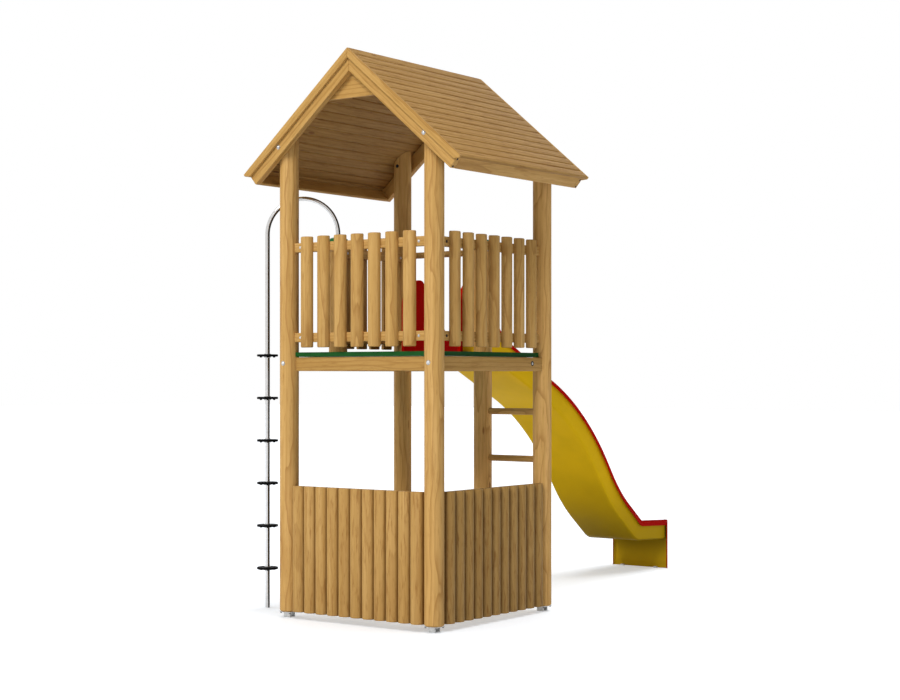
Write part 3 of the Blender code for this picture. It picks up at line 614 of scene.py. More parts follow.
def plain_board(name, tint, roughness):
    """A film faced board or a moulded cap: even colour with fine grit and scuffs."""
    material, n = new_material(name)
    place = n.coordinates()
    scuffs = n.noise(place, (14, 40, 40), 5.0, 0.7)
    scuffed = [c * 1.7 + 0.01 for c in tint]
    n.feed("Base Color", n.mix(n.between(scuffs, 0.55, 0.8, 0.0, 0.3), toned(tint), toned(scuffed)))
    n.feed("Roughness", n.between(scuffs, 0.3, 0.8, roughness, roughness + 0.18, "LINEAR"))
    n.feed("Specular IOR Level", 0.12)
    n.bump(n.noise(place, 700.0, 2.0), 0.15, 0.0006)
    return material


def rubber(name, tint):
    material, n = new_material(name)
    place = n.coordinates()
    worn = n.noise(place, 22.0, 4.0, 0.65)
    n.feed("Base Color", n.mix(n.between(worn, 0.5, 0.8, 0.0, 0.5), toned(tint), toned(tint, 2.4)))
    n.feed("Roughness", n.between(worn, 0.3, 0.8, 0.5, 0.72, "LINEAR"))
    n.feed("Specular IOR Level", 0.04)
    n.bump(n.noise(place, 520.0), 0.25, 0.0008)
    return material


MATERIALS = {
    "posts": pine("post_pine", (0.98, 0.98, 0.95), bends=1.9),
    # Painted light: a lighter copy of the post pine, for the rear right and middle posts.
    "painted_light_posts": pine("painted_light_post_pine", (1.16, 1.16, 1.14), bends=1.9),
    "battens": pine("batten_pine", (0.9, 0.9, 0.84), bends=1.4),
    # Both log walls carry painted shade in their grooves; the right wall's logs are a darker copy of the
    # front's: painted shade.
    "front_logs": pine("front_log_pine", (0.84, 0.84, 0.8), groove_shade=0.75, knots=0.0, flecked=0.8),
    "right_logs": pine("painted_shade_right_log_pine", (0.7, 0.7, 0.65), groove_shade=0.9, knots=0.0, flecked=0.95),
    "beams": pine("beam_pine", (0.79, 0.77, 0.66), 0.03, flecked=0.6),
    "rafters": pine("rafter_pine", (0.88, 0.86, 0.75), 0.03),
    "roof": pine("roof_pine", (0.82, 0.8, 0.73), 0.03, 0.6, underside_shade=0.35, flecked=0.75),
    "steel": steel("stainless_steel", (0.66, 0.65, 0.64), 0.16, painted_reflection=0.95),
    "zinc": steel("galvanised_steel", (0.62, 0.62, 0.61), 0.42, 1.0),
    # Near-black steel for the fixings that stand in the shade: painted shade.
    "painted_shade_steel": steel("painted_shade_steel", (0.03, 0.03, 0.032), 0.4),
    # The red and yellow gel coats darken towards the ground: painted shade.
    "red": moulded("red_gel_coat", (0.54, 0.004, 0.001), 0.01, (0.3, 0.7, 0.2, 0.0)),
    "yellow": moulded("yellow_gel_coat", (0.86, 0.53, 0.009), 0.01, YELLOW_HEIGHT_SHADE, YELLOW_UNDERSIDE_SHADE),
    # The tray's yellow inside: a darker copy of the yellow gel coat, darker still towards its top: painted
    # shade.
    "shaded_tray_yellow": moulded("shaded_tray_yellow_gel_coat", (0.74, 0.46, 0.013), 0.02, (0.04, 0.26, 0.0, 0.8)),
    "green_board": plain_board("green_film_board", (0.006, 0.07, 0.01), 0.5),
    "green_cap": plain_board("green_cap_plastic", (0.015, 0.2, 0.045), 0.3),
    "rubber": rubber("black_rubber", (0.003, 0.003, 0.003)),
}


# The tower's pieces


def roof_point(along, below, side=1):
    """The (x, z) of a point on the gable's plane: along the slope from the ridge, below its top."""
    x = along * math.cos(ROOF_ANGLE) - below * math.sin(ROOF_ANGLE)
    z = RIDGE_HEIGHT - along * math.sin(ROOF_ANGLE) - below * math.cos(ROOF_ANGLE)
    return MIDDLE_X + side * x, z


def ridge_along(below):
    """How far along the slope a line below its top meets the joint at the ridge."""
    return below * math.tan(ROOF_ANGLE) + CLEARANCE / math.cos(ROOF_ANGLE)


def round_post(name, x, y, low, high, lean=0.0, finish="posts"):
    """A round post with a chamfered foot. Where it carries the roof, its top is cut to the slope."""
    outline = circle(POST_RADIUS, POST_SIDES)
    points = [(p.x, p.y, low) for p in circle(POST_RADIUS - POST_CHAMFER, POST_SIDES)]
    points += [(p.x, p.y, low + POST_CHAMFER) for p in outline]
    points += [(p.x, p.y, high - lean * p.x) for p in outline]
    pieces = Pieces()
    pieces.add(points, loft_faces(3, POST_SIDES), Matrix.Translation((x, y, 0)), own_grain("post"))
    pieces.object(name + "_wood", [finish], "timber", (name,))


def build_posts():
    for end, y in (("front", FRONT), ("rear", REAR)):
        for (side, word), x in zip(SIDES, (LEFT, RIGHT)):
            at_x, at_z = roof_point(SLOPE_LENGTH / 2, UNDER_BOARDS, side)
            lean = side * math.tan(ROOF_ANGLE)
            # The rear right post, like the middle one, takes the lighter copy of the pine: painted light.
            finish = "painted_light_posts" if (end, word) == ("rear", "right") else "posts"
            round_post(f"post_{end}_{word}", x, y, POST_BOTTOM, at_z - lean * (x - at_x), lean, finish)
    round_post("post_mid", MID_POST_X, REAR, POST_BOTTOM, SHORT_POST_TOP, finish="painted_light_posts")
    round_post("post_short", LEFT, SHORT_POST_Y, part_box("post_short")[0].z, SHORT_POST_TOP)


def bay_place(x, y, turn):
    return Matrix.Translation((x, y, 0)) @ Matrix.Rotation(turn, 4, "Z")


# The bays that carry a panel: the length from post to post, and the place of a panel made for the front.
BAYS = {
    "front": (RIGHT - LEFT, bay_place(MIDDLE_X, FRONT, 0)),
    "right": (REAR - FRONT, bay_place(RIGHT, MIDDLE_Y, math.pi / 2)),
    "left": (REAR - SHORT_POST_Y, bay_place(LEFT, (REAR + SHORT_POST_Y) / 2, -math.pi / 2)),
}


def log_panel(kind, side, section, count, pitch, ends, rounding, levels, finish):
    """Half-round logs on two squared rails, in a bay between two round posts."""
    name = f"{kind}_{side}"
    bay, place = BAYS[side]
    logs = Pieces()
    for i in range(count):
        stand = place @ Matrix.Translation(((i - (count - 1) / 2) * pitch, -RAIL_FACE, 0))
        logs.extrude(section, *ends, stand, rounding, own_grain("log"))
    logs.object(name + "_logs", [finish], "timber", (name,))
    rails = Pieces()
    reach = bay / 2 - math.sqrt(POST_RADIUS**2 - RAIL_FACE**2) * RAIL_SEAT
    for level in levels:
        low = (-RAIL_FACE, level - RAIL_HEIGHT / 2)
        high = (RAIL_THICKNESS - RAIL_FACE, level + RAIL_HEIGHT / 2)
        bar = rounded_rectangle(low, high, RAIL_EDGE)
        rails.extrude(bar, -reach, reach, place @ along_x(0, 0), grain=own_grain("rail"))
    rails.object(name + "_rails", ["battens"], "timber")


def build_railings():
    batten = half_round(BATTEN_DIAMETER, BATTEN_DEPTH, BATTEN_EDGE)
    rows = {
        "front": (BATTENS_WIDE, BATTEN_PITCH_FRONT),
        "right": (BATTENS_WIDE, BATTEN_PITCH_SIDE),
        "left": (BATTENS_NARROW, BATTEN_PITCH_FRONT),
    }
    for side, row in rows.items():
        log_panel("railing", side, batten, *row, BATTEN_ENDS, BATTEN_CHAMFER, RAIL_LEVELS, "battens")


def build_walls():
    for side in ("front", "right"):
        pitch = (BAYS[side][0] - 2 * POST_RADIUS) / WALL_LOGS
        log = half_round(pitch - WALL_LOG_GAP, WALL_LOG_DEPTH, WALL_LOG_EDGE)
        row = (WALL_LOGS, pitch, WALL_ENDS, WALL_LOG_CHAMFER, WALL_RAIL_LEVELS)
        log_panel("wall", side, log, *row, side + "_logs")


def wooden_bar(name, section, low, high, place, kind, finish):
    """Sets one even bar of wood in the place of its node."""
    pieces = Pieces()
    pieces.extrude(section, low, high, place, grain=own_grain(kind))
    pieces.object(name + "_wood", [finish], "timber", (name,))


def build_beams():
    """Squared beams under the deck, each in the box of its node."""
    for name in ("beam_left", "beam_right"):
        low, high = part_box(name)
        section = rounded_rectangle((low.z, low.x), (high.z - DECK_SHADOW_GAP, high.x), BEAM_EDGE)
        wooden_bar(name, section, low.y, high.y, along_y(0, 0), "beam", "beams")
    for name in ("beam_front", "beam_rear_slide", "beam_rear_ladder"):
        low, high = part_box(name)
        section = rounded_rectangle((low.y, low.z), (high.y, high.z - DECK_SHADOW_GAP), BEAM_EDGE)
        wooden_bar(name, section, low.x, high.x, along_x(0, 0), "beam", "beams")


def build_bars():
    """The four rungs of the ladder and the bar over the slide."""
    outline = circle(RUNG_DIAMETER / 2, RUNG_SIDES)
    for name in ("rung_1", "rung_2", "rung_3", "rung_4", "slide_bar"):
        low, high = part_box(name)
        wooden_bar(name, outline, low.x, high.x, along_x(*centre(name).yz), "rung", "posts")


def build_caps():
    """Domed caps on the two posts that end below the roof. The pole comes through one of them."""
    outer, seat = CAP_DIAMETER / 2, POST_RADIUS + CLEARANCE
    under = SHORT_POST_TOP + CLEARANCE
    skirt = under - CAP_SKIRT
    for name, hole in (("cap_mid", AXIS), ("cap_short", POLE_DIAMETER / 2 + CLEARANCE)):
        dome = []
        for i in range(11):
            angle = math.radians(90 - 9 * i)
            reach = max(outer * math.cos(angle), hole)
            if reach > hole or not dome:
                dome.append((reach, under + CAP_CROWN + CAP_RISE * math.sin(angle)))
        rim = [(outer, skirt + FINE_EDGE), (outer - FINE_EDGE, skirt), (seat, skirt)]
        pieces = Pieces()
        pieces.turn(dome + rim + [(seat, under), (hole, under)], Matrix.Translation((*centre(name).xy, 0)))
        pieces.object(name + "_dome", ["green_cap"], "green_cap", (name,))


def add_head(pieces, size, spot, out, place=Matrix(), steps=HEAD_STEPS):
    """Adds a domed head on its washer, seated a little into the face behind it."""
    radius, height = size
    washer, foot = radius * WASHER_SHARE, WASHER_THICKNESS
    profile = [(AXIS, -HEAD_SEAT), (washer, -HEAD_SEAT), (washer, foot), (radius, foot)]
    for degrees in range(15, 90, 15):
        turn = math.radians(degrees)
        profile.append((radius * math.cos(turn), foot + height * math.sin(turn)))
    pieces.turn(profile + [(AXIS, foot + height)], place @ facing(spot, out), steps)


def add_post_bolts(bright, dark):
    for end, y in ((-1, FRONT), (1, REAR)):
        face = y + end * (POST_RADIUS + CLEARANCE + RAFTER_THICKNESS)
        for x in (LEFT, RIGHT):
            add_head(bright, RAFTER_BOLT, (x, face, RAFTER_BOLT_HEIGHT), (0, end, 0))
            add_head(dark, RAFTER_NUT, (x, y - end * POST_RADIUS, RAFTER_BOLT_HEIGHT), (0, -end, 0))
    for x in (LEFT, RIGHT):
        add_head(bright, RAFTER_BOLT, (x, FRONT - POST_RADIUS, DECK_BOLT_HEIGHT), (0, -1, 0))


def add_beam_bolts(bright, dark):
    radius, proud = BEAM_PLATE
    plate = [(AXIS, -HEAD_SEAT), (radius, -HEAD_SEAT), (radius, proud), (AXIS, proud)]
    for x, out in ((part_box("beam_right")[1].x, 1), (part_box("beam_left")[0].x, -1)):
        spot = (x, REAR - BEAM_NUT_FROM_POST, DECK_BOLT_HEIGHT)
        dark.turn(plate, facing(spot, (out, 0, 0)), HEAD_STEPS)
        add_head(bright, BEAM_BOLT, spot, (out, 0, 0))


def add_rail_bolts(bright, dark):
    # The right railing stands in the shade, so its bolts take the near-black steel: painted shade.
    for side, pieces in (("front", bright), ("right", dark), ("left", bright)):
        bay, place = BAYS[side]
        for end in (-1, 1):
            for level in RAIL_LEVELS:
                outer = (end * (bay / 2 - RAIL_BOLT_FROM_POST), -RAIL_FACE, level)
                inner = (end * (bay / 2 - RAIL_NUT_FROM_POST), RAIL_THICKNESS - RAIL_FACE, level)
                add_head(pieces, RAIL_BOLT, outer, (0, -1, 0), place)
                add_head(pieces, RAIL_BOLT, inner, (0, 1, 0), place)


def add_rafter_nails(pieces):
    for side, _ in SIDES:
        slope = slope_frame(side)
        for y in (FRONT - RAFTER_NAIL_OUT, REAR + RAFTER_NAIL_OUT):
            for below in RAFTER_NAILS_BELOW:
                spot = slope @ Vector((SLOPE_LENGTH - EAVES_OVERHANG, -below, y))
                add_head(pieces, RAFTER_NAIL, spot, slope.to_3x3().col[0], steps=NAIL_STEPS)


def add_anchor_blocks(pieces):
    half = ANCHOR_BLOCK.xy / 2
    for side, _ in SIDES:
        middle = Vector((SLIDE_X + side * ANCHOR_OUT, SLIDE_END - END_PANEL_DEPTH - half.y))
        pieces.extrude(rounded_rectangle(middle - half, middle + half, ANCHOR_EDGE), 0.0, ANCHOR_BLOCK.z)


def add_foot_screws(pieces):
    radius, drop = FOOT_SCREW
    screw = [(AXIS, -FINE_EDGE), (radius, -FINE_EDGE), (radius, drop), (AXIS, drop + FINE_EDGE)]
    for name in FEET:
        under = Vector((*centre(name).xy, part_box(name)[1].z - FOOT_PLATE))
        for across, deep in ((-1, -1), (-1, 1), (1, -1), (1, 1)):
            spot = under + FOOT_SCREW_OUT * Vector((across, deep, 0))
            pieces.turn(screw, facing(spot, (0, 0, -1)), NUT_SIDES)


def build_bolts():
    """Bright domed bolts outside; the nuts, nails and screws on the inner faces and in the shade are
    near-black steel, painted shade.
    """
    bright, dark = Pieces(), Pieces()
    add_post_bolts(bright, dark)
    add_beam_bolts(bright, dark)
    add_rail_bolts(bright, dark)
    add_rafter_nails(dark)
    add_anchor_blocks(bright)
    add_foot_screws(dark)
    bright.object("bright_bolts", ["zinc"], "steel")
    dark.object("painted_shade_bolts", ["painted_shade_steel"], "steel")


def tube_points(route, radius, sides):
    """Rings of points round a route that stays in one upright plane."""
    across = (route[-1] - route[0]).xy.to_3d().normalized().cross(Vector((0, 0, 1)))
    points = []
    for before, here, after in zip(route[:1] + route[:-1], route, route[1:] + route[-1:]):
        other = (after - before).normalized().cross(across)
        points += [here + across * p.x + other * p.y for p in circle(radius, sides)]
    return points


def build_pole():
    """The bent pole: up from the ground, over in a half circle and down on the short post."""
    post, foot = Vector((LEFT, SHORT_POST_Y, 0)), Vector((POLE_X, POLE_Y, 0))
    half = (foot - post) / 2
    middle = (foot + post) / 2 + Vector((0, 0, ARCH_SPRINGING))
    route = [foot + Vector((0, 0, POLE_LIFT))]
    for i in range(ARCH_STEPS + 1):
        angle = math.pi * i / ARCH_STEPS
        route.append(middle + half * math.cos(angle) + Vector((0, 0, half.length * math.sin(angle))))
    route.append(post + Vector((0, 0, SHORT_POST_TOP + CLEARANCE)))
    pieces = Pieces()
    pieces.add(tube_points(route, POLE_DIAMETER / 2, POLE_SIDES), loft_faces(len(route), POLE_SIDES))
    pieces.object("disc_pole_tube", ["steel"], "steel", ("disc_pole",))


def collar_profile(bore, low, high):
    outer, eased = COLLAR_DIAMETER / 2, COLLAR_DIAMETER / 2 - FINE_EDGE
    profile = [(bore, low), (eased, low), (outer, low + FINE_EDGE)]
    return profile + [(outer, high - FINE_EDGE), (eased, high), (bore, high)]


def build_discs():
    """Foot discs that ring the pole: rubber with rounded edges, four nuts below and a steel collar."""
    bore, face = POLE_DIAMETER / 2 + CLEARANCE, DISC_THICKNESS / 2
    inner = DISC_DIAMETER / 2 - DISC_EDGE
    edge = corner_arc((inner, face - DISC_EDGE), DISC_EDGE, 90, 0, 5)
    edge += corner_arc((inner, DISC_EDGE - face), DISC_EDGE, 0, -90, 5)
    profile = [(bore, face), *edge, (bore, -face)]
    nut = [(AXIS, FINE_EDGE - face), (DISC_NUT[0][0], FINE_EDGE - face)]
    nut += [(radius, -face - drop) for radius, drop in DISC_NUT]
    for name in [f"disc_{i}" for i in range(1, 7)]:
        at = Matrix.Translation((POLE_X, POLE_Y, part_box(name)[1].z - face))
        disc = Pieces()
        disc.turn(profile, at)
        for quarter in range(4):
            turned = Matrix.Rotation((quarter + 0.5) * math.pi / 2, 4, "Z")
            disc.turn(nut, at @ turned @ Matrix.Translation((DISC_NUT_RING, 0, 0)), NUT_SIDES)
        disc.object(name + "_rubber", ["rubber"], "black_rubber", (name,))
        collars = Pieces()
        for low, high in ((-face - COLLAR_DROP, -face - CLEARANCE), (face + CLEARANCE, face + COLLAR_RISE)):
            collars.turn(collar_profile(bore, low, high), at, COLLAR_STEPS)
        collars.object(name + "_collars", ["zinc"], "steel")


def slope_frame(side):
    """Places a board whose own Z runs along +Y, own X down the slope and own Y up out of it."""
    down = (side * math.cos(ROOF_ANGLE), 0, -math.sin(ROOF_ANGLE), 0)
    out = (side * math.sin(ROOF_ANGLE), 0, math.cos(ROOF_ANGLE), 0)
    return Matrix((down, out, (0, 1, 0, 0), (MIDDLE_X, 0, RIDGE_HEIGHT, 1))).transposed()


def build_roof_boards():
    """Rounded boards with a narrow gap between them, and behind each gap the next board's tongue."""
    pitch = SLOPE_LENGTH / ROOF_BOARDS
    for side, word in SIDES:
        slope = slope_frame(side)
        boards = Pieces()
        for i in range(ROOF_BOARDS):
            start, end = i * pitch + BOARD_GAP / 2, (i + 1) * pitch - BOARD_GAP / 2
            section = rounded_rectangle((start, -BOARD_THICKNESS), (end, 0), BOARD_ROUND)
            if i == 0:
                ridge = [Vector((ridge_along(below), -below)) for below in (BOARD_THICKNESS, 0)]
                section = [ridge[0], *section[: len(section) // 2], ridge[1]]
            boards.extrude(section, ROOF_FRONT, ROOF_REAR, slope, FINE_EDGE, own_grain("roof"))
            if i > 0:
                low = Vector((i * pitch - TONGUE_WIDTH / 2, -(BOARD_THICKNESS + TONGUE_THICKNESS) / 2))
                tongue = rounded_rectangle(low, low + Vector((TONGUE_WIDTH, TONGUE_THICKNESS)), FINE_EDGE)
                boards.extrude(tongue, ROOF_FRONT + TONGUE_INSET, ROOF_REAR - TONGUE_INSET, slope)
        boards.object(f"roof_{word}_boards", ["roof"], "roof_timber", (f"roof_{word}",))


def gable_plank(pieces, outline, near, far, side):
    """Adds a plank of the gable: an outline of (along, below) on the slope, made solid through Y."""
    points = [(-below, y, along) for y in (near, far) for along, below in outline]
    place = slope_frame(side) @ along_x(0, 0)
    pieces.add(points, loft_faces(2, len(outline)), place, own_grain("rafter"))


def build_gables():
    """At each end two rafters with the verge trims on them, and a gusset behind their joint."""
    rafter_end = SLOPE_LENGTH - EAVES_OVERHANG
    body = [(ridge_along(UNDER_BOARDS), UNDER_BOARDS), (rafter_end, UNDER_BOARDS)]
    body += [(rafter_end, RAFTER_DEPTH), (ridge_along(RAFTER_DEPTH), RAFTER_DEPTH)]
    trim = [(ridge_along(0), 0), (SLOPE_LENGTH, 0), (SLOPE_LENGTH, TRIM_NOSE)]
    trim += [(SLOPE_LENGTH - TRIM_END_CUT, TRIM_DEPTH), (ridge_along(TRIM_DEPTH), TRIM_DEPTH)]
    for end, line, end_word in ((-1, FRONT, "front"), (1, REAR, "rear")):
        inner = line + end * (POST_RADIUS + CLEARANCE)
        outer = inner + end * RAFTER_THICKNESS
        for side, word in SIDES:
            name = f"rafter_{end_word}_{word}"
            pieces = Pieces()
            gable_plank(pieces, body, inner, outer, side)
            gable_plank(pieces, trim, outer, outer + end * TRIM_THICKNESS, side)
            rafter = pieces.object(name + "_wood", ["rafters"], "timber", (name,), 30)
            bevel = rafter.modifiers.new("edges", "BEVEL")
            bevel.width = RAFTER_EDGE
            bevel.segments = 2
            bevel.limit_method = "ANGLE"
        build_gusset(f"gusset_{end_word}", inner - end * CLEARANCE, -end)


def build_gusset(name, face, inward):
    """A three-cornered board under the ridge, with its grain across the gable."""
    peak = RIDGE_HEIGHT - UNDER_BOARDS / math.cos(ROOF_ANGLE)
    half = (peak - GUSSET_BOTTOM) / math.tan(ROOF_ANGLE)
    corners = ((GUSSET_BOTTOM, -half), (GUSSET_BOTTOM, half), (peak, 0))
    points = [(z, y, x) for y in (face, face + inward * GUSSET_THICKNESS) for z, x in corners]
    across = Matrix(((0, 0, 1, MIDDLE_X), (0, 1, 0, 0), (1, 0, 0, 0), (0, 0, 0, 1)))
    pieces = Pieces()
    pieces.add(points, loft_faces(2, len(corners)), across, own_grain("gusset"))
    pieces.object(name + "_wood", ["rafters"], "timber", (name,), 30)


def build_fascias():
    end = SLOPE_LENGTH - EAVES_OVERHANG
    corners = (end - FASCIA_THICKNESS, -RAFTER_DEPTH), (end, -UNDER_BOARDS)
    section = rounded_rectangle(*corners, FASCIA_EDGE)
    for side, word in SIDES:
        name = f"fascia_{word}"
        low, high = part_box(name)
        wooden_bar(name, section, low.y, high.y, slope_frame(side), "fascia", "rafters")


# The slide


def slide_path():
    """Stations along the slide's underside: (y, z, slope angle), with each bend as an arc."""
    level = SLIDE_CORNER_HEIGHTS[0]
    corners = [Vector((SLIDE_START, level))]
    corners += [Vector((REAR + out, height)) for out, height in zip(SLIDE_CORNERS_OUT, SLIDE_CORNER_HEIGHTS)]
    corners.append(Vector((SLIDE_END - END_PANEL_DEPTH - CLEARANCE, SLIDE_END_HEIGHT)))
    stations = []
    for before, corner, after, radius in zip(corners, corners[1:], corners[2:], SLIDE_RADII):
        into, out = (corner - before).normalized(), (after - corner).normalized()
        start_angle = math.atan2(into.y, into.x)
        turn = math.atan2(out.y, out.x) - start_angle
        start = corner - into * abs(radius * math.tan(turn / 2))
        side = math.copysign(1, turn)
        middle = start + Vector((-into.y, into.x)) * side * radius
        steps = max(4, round(abs(turn) / SLIDE_STEP))
        for i in range(steps + 1):
            angle = start_angle + turn * i / steps
            point = middle + Vector((math.sin(angle), -math.cos(angle))) * side * radius
            stations.append((point.x, point.y, angle))
    stations.append((*corners[-1], 0.0))
    entry = [WING_CREST - (WING_CREST - SLIDE_START) * math.cos(i * ENTRY_STEP) for i in range(ENTRY_STEPS)]
    return [(y, level, 0.0) for y in entry if y < stations[0][0] - SLIDE_SHELL] + stations


def run_out_share(y):
    """How far the rim has grown from its form on the slope, 0, to that of the run-out, 1."""
    return min(1, max(0, (y - RUN_OUT_START) / (RUN_OUT_FULL - RUN_OUT_START)))


def rim_height(y):
    """The height of the slide's side over its underside: wings at the entry, an even rim, a higher end."""
    if y < WING_CREST:
        share = (WING_CREST - y) / (WING_CREST - SLIDE_START)
        return WING_FRONT_HEIGHT + (WING_HEIGHT - WING_FRONT_HEIGHT) * math.sqrt(max(0, 1 - share**2))
    t = min(1, (y - WING_CREST) / (WING_END - WING_CREST))
    even = SLIDE_DEPTH + (SLIDE_END_DEPTH - SLIDE_DEPTH) * run_out_share(y)
    return even + (WING_HEIGHT - SLIDE_DEPTH) * (1 - t) ** 4 * (1 + 4 * t)


def carry_section(pieces, rings, colours):
    """Adds a closed section carried along rings, each strip in its colour, with flat red ends."""
    points = [p for ring in rings for p in ring]
    marks = [1, *colours * (len(rings) - 1), 1]
    pieces.add(points, loft_faces(len(rings), len(colours)), marks=marks)


def trough_section(height):
    """The bed and walls as (x, height) points, out along the yellow underside and back along the red bed."""
    wall, inner = SLIDE_WIDTH / 2, SLIDE_CORNER - SLIDE_SHELL
    turn, top = (wall - SLIDE_CORNER, SLIDE_CORNER), height + SLIDE_SHELL / 2
    under = corner_arc(turn, SLIDE_CORNER, -90, 0, SLIDE_ARC_STEPS) + [Vector((wall, top))]
    over = [Vector((wall - SLIDE_SHELL, top))] + corner_arc(turn, inner, 0, -90, SLIDE_ARC_STEPS)
    colours = [0] * (len(under) - 1) + [1] * len(over)
    mirrored = [Vector((-p.x, p.y)) for p in (under + over)[::-1]]
    return under + over + mirrored, colours + [1] + colours[::-1] + [0]


def rim_line():
    """The rim's top seen from the side, from the deck round the wing to the run-out: (point, lip's depth)."""
    level = SLIDE_CORNER_HEIGHTS[0]
    line = [(Vector((SLIDE_START, level + WING_FRONT_HEIGHT * i / 4)), SLIDE_LIP) for i in range(4)]
    for y, z, angle in slide_path():
        up = Vector((-math.sin(angle), math.cos(angle)))
        lip = SLIDE_LIP + (SLIDE_END_LIP - SLIDE_LIP) * run_out_share(y)
        line.append((Vector((y, z)) + up * (rim_height(y) + SLIDE_SHELL), lip))
    return line


def rim_section(lip, outer):
    """The rim's section: (outwards from the wall, below the top) points that close round the wall's edge."""
    shell, edge, small, fillet = SLIDE_SHELL, SLIDE_FLANGE, FINE_EDGE, SLIDE_INNER_FILLET
    face, inner = -shell - RIM_PROUD, SLIDE_INNER_ROUND
    outer = min(outer, edge - face - inner)
    top = corner_arc((face + inner, -inner), inner, 180, 90, RIM_ARC_STEPS)
    top += corner_arc((edge - outer, -outer), outer, 90, 0, RIM_ARC_STEPS)
    red = [(face, RIM_COVER), *((p.x, -p.y) for p in top), (edge, lip - small), (edge - small, lip)]
    back = edge - shell
    yellow = [(back + small, lip), (back, lip - small), (back, shell + fillet), (back - fillet, shell)]
    yellow += [(RIM_PROUD + fillet, shell), (RIM_PROUD, shell + fillet), (RIM_PROUD, RIM_COVER)]
    return red + yellow, [1] * len(red) + [0] * len(yellow)


def add_trough(pieces):
    rings = []
    for y, z, angle in slide_path():
        up = Vector((0, -math.sin(angle), math.cos(angle)))
        points, colours = trough_section(rim_height(y))
        front = max(y, SLIDE_START + SLIDE_SHELL / 2)
        rings.append([Vector((SLIDE_X + p.x, front, z)) + up * p.y for p in points])
    carry_section(pieces, rings, colours)


def add_rim(pieces, side):
    line = rim_line()
    places = [place for place, lip in line]
    rings = []
    for (here, lip), before, after in zip(line, places[:1] + places[:-1], places[1:] + places[-1:]):
        along = (after - before).normalized()
        out = Vector((-along.y, along.x)) if here != places[-1] else Vector((0, 1))
        grown = (lip - SLIDE_LIP) / (SLIDE_END_LIP - SLIDE_LIP)
        outer = SLIDE_OUTER_ROUND + grown * (SLIDE_END_OUTER_ROUND - SLIDE_OUTER_ROUND)
        points, colours = rim_section(lip, outer)
        wall = SLIDE_X + side * SLIDE_WIDTH / 2
        rings.append([(wall + side * across, *(here - out * below)) for across, below in points])
    carry_section(pieces, rings, colours)


def build_slide():
    """One moulding: the trough with its raised wings, and a rim along each side."""
    pieces = Pieces()
    add_trough(pieces)
    for side, _ in SIDES:
        add_rim(pieces, side)
    pieces.object("slide_moulding", ["yellow", "red"], "slide_yellow", ("slide",), 40)


def end_panel_outline(inset, opening):
    """The end panel seen along the slide, its outer edges and its opening's edges each drawn in."""
    rim = SLIDE_WIDTH / 2 + SLIDE_FLANGE - inset
    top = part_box("slide_end_panel")[1].z - inset
    wall = SLIDE_WIDTH / 2 - SLIDE_SHELL + opening
    bed = SLIDE_END_HEIGHT + SLIDE_SHELL - opening
    outer = max(FINE_EDGE, END_PANEL_CORNER - inset)
    inner = SLIDE_CORNER - SLIDE_SHELL + opening
    half = [Vector((rim, 0)), *corner_arc((rim - outer, top - outer), outer, 0, 90, SLIDE_ARC_STEPS)]
    half += [Vector((wall, top)), *corner_arc((wall - inner, bed + inner), inner, 0, -90, SLIDE_ARC_STEPS)]
    return half + [Vector((-p.x, p.y)) for p in half[::-1]]


def build_end_panel():
    """The panel at the slide's end: a tray, red outside and yellow within, rounded over its front edge."""
    levels = [(SLIDE_END - END_PANEL_DEPTH, 0.0)]
    for i in range(6):
        turn, round_by = math.radians(18 * i), END_PANEL_ROUND
        levels.append((SLIDE_END - round_by * (1 - math.sin(turn)), round_by * (1 - math.cos(turn))))
    outside, inside = [], []
    for y, inset in levels:
        outline = end_panel_outline(inset, min(inset, END_PANEL_SHELL - FINE_EDGE))
        outside += [(p.x, y, p.y) for p in outline]
        deep = y - END_PANEL_SHELL if inside else y
        outline = end_panel_outline(inset + END_PANEL_SHELL, END_PANEL_SHELL)
        inside += [(p.x, deep, p.y) for p in outline]
    count, shift = len(outline), len(outside)
    last = shift - count
    shell = [list(range(last, shift))]
    for first in range(0, last, count):
        shell += [[i, i + 1, i + count + 1, i + count] for i in range(first, first + count - 1)]
    edge = [*range(count), *range(2 * count - 1, shift, count), *range(last, 0, -count)]
    joint = [[a, b, shift + b, shift + a] for a, b in zip(edge, edge[1:] + edge[:1])]
    faces = shell + [[shift + i for i in face] for face in shell] + joint
    marks = [1] * len(shell) + [0] * len(shell) + [1] * len(joint)
    pieces = Pieces()
    pieces.add(outside + inside, faces, Matrix.Translation((SLIDE_X, 0, 0)), marks=marks)
    pieces.object("slide_end_tray", ["shaded_tray_yellow", "red"], "slide_red", ("slide_end_panel",), 40)


# Stage, light and view


def finish_nodes():
    """Finishes for the nodes whose own shape is right."""
    for name, finish in [("deck", "green_board")] + [(foot, "zinc") for foot in FEET]:
        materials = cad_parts[name].data.materials
        materials.clear()
        materials.append(MATERIALS[finish])


def white_rays(n):
    """One for rays that show the bright studio itself: straight to the camera, or by a gloss."""
    rays = n.node("ShaderNodeLightPath").outputs
    seen = n.maths("MAXIMUM", rays["Is Camera Ray"], rays["Is Glossy Ray"])
    return n.maths("MAXIMUM", seen, rays["Is Transmission Ray"])


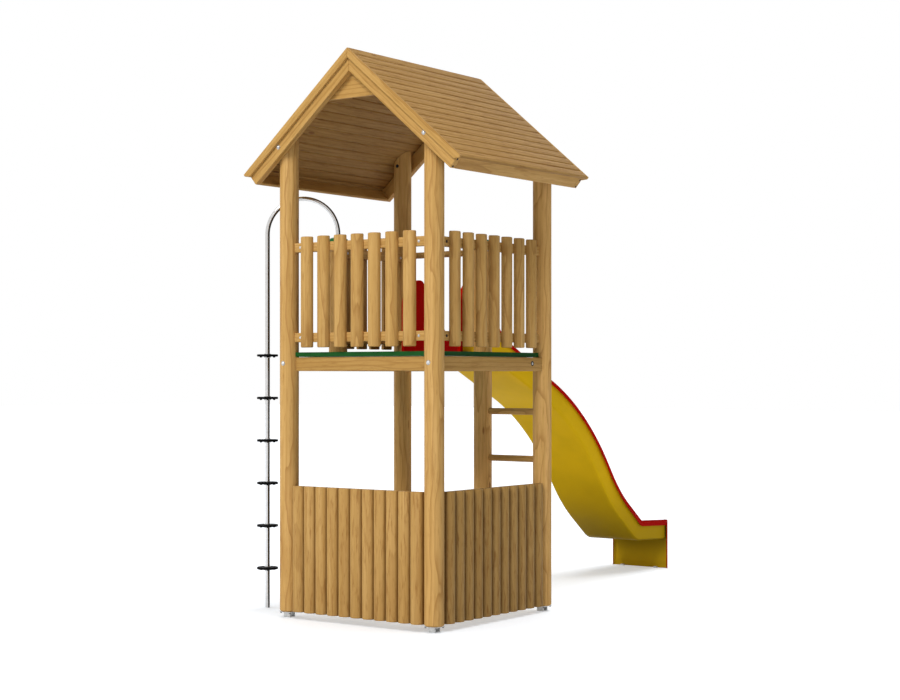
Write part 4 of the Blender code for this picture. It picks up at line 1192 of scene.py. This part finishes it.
def build_stage():
    """A wide floor that keeps the shadow and glows as white as the studio behind it."""
    mesh = bpy.data.meshes.new("studio_floor")
    corners = [(x * FLOOR_REACH, y * FLOOR_REACH, 0) for x, y in ((-1, -1), (1, -1), (1, 1), (-1, 1))]
    mesh.from_pydata(corners, [], [(0, 1, 2, 3)])
    floor = bpy.data.objects.new("studio_floor", mesh)
    SCENE.collection.objects.link(floor)
    material, n = new_material("studio_floor")
    n.feed("Base Color", toned(FLOOR_TONE))
    n.feed("Roughness", 0.9)
    n.feed("Specular IOR Level", 0.0)
    n.feed("Emission Color", WHITE)
    n.feed("Emission Strength", n.times(white_rays(n), FLOOR_GLOW))
    mesh.materials.append(material)
    return floor


def build_world():
    """Even light from all round. In a gloss the studio gets darker towards its right rear."""
    world = bpy.data.worlds.new("studio")
    SCENE.world = world
    n = Nodes(world, "Background")
    turned = n.along(n.coordinates("Generated"), DARK_SIDE)
    dimmed = n.between(turned, 0.1, 0.75, 1.0, DARK_SIDE_LEVEL)
    in_gloss = n.node("ShaderNodeLightPath").outputs["Is Glossy Ray"]
    n.feed("Color", WHITE)
    n.feed("Strength", n.blend(white_rays(n), AMBIENT, n.blend(in_gloss, 1.0, dimmed)))


def add_sun(name, sun, floor, on_floor):
    """A soft lamp that lights either the object alone or the floor alone."""
    strength, angle, towards = sun
    lamp = bpy.data.objects.new(name, bpy.data.lights.new(name, "SUN"))
    lamp.data.energy = strength
    lamp.data.angle = math.radians(angle)
    lamp.rotation_euler = Vector(towards).to_track_quat("-Z", "Y").to_euler()
    SCENE.collection.objects.link(lamp)
    receivers = bpy.data.collections.new(name + "_receivers")
    receivers.objects.link(floor)
    receivers.collection_objects[0].light_linking.link_state = "INCLUDE" if on_floor else "EXCLUDE"
    lamp.light_linking.receiver_collection = receivers


def build_light(floor):
    build_world()
    add_sun("key_light", KEY_LIGHT, floor, False)
    add_sun("rear_fill", REAR_FILL, floor, False)
    add_sun("floor_light", FLOOR_LIGHT, floor, True)


def build_camera():
    camera = bpy.data.objects.new("camera", bpy.data.cameras.new("camera"))
    SCENE.collection.objects.link(camera)
    SCENE.camera = camera
    camera.location = CAMERA_PLACE
    camera.rotation_euler = (math.pi / 2, 0, CAMERA_TURN)
    camera.data.sensor_width = SENSOR_WIDTH
    camera.data.lens = FOCAL_PIXELS / PHOTO_WIDTH * SENSOR_WIDTH
    camera.data.shift_y = (HORIZON_PIXEL - PHOTO_HEIGHT / 2) / PHOTO_WIDTH


build_camera()
build_light(build_stage())
finish_nodes()
build_posts()
build_railings()
build_walls()
build_beams()
build_bars()
build_caps()
build_bolts()
build_pole()
build_discs()
build_roof_boards()
build_gables()
build_fascias()
build_slide()
build_end_panel()
SCENE.view_settings.view_transform = "Standard"
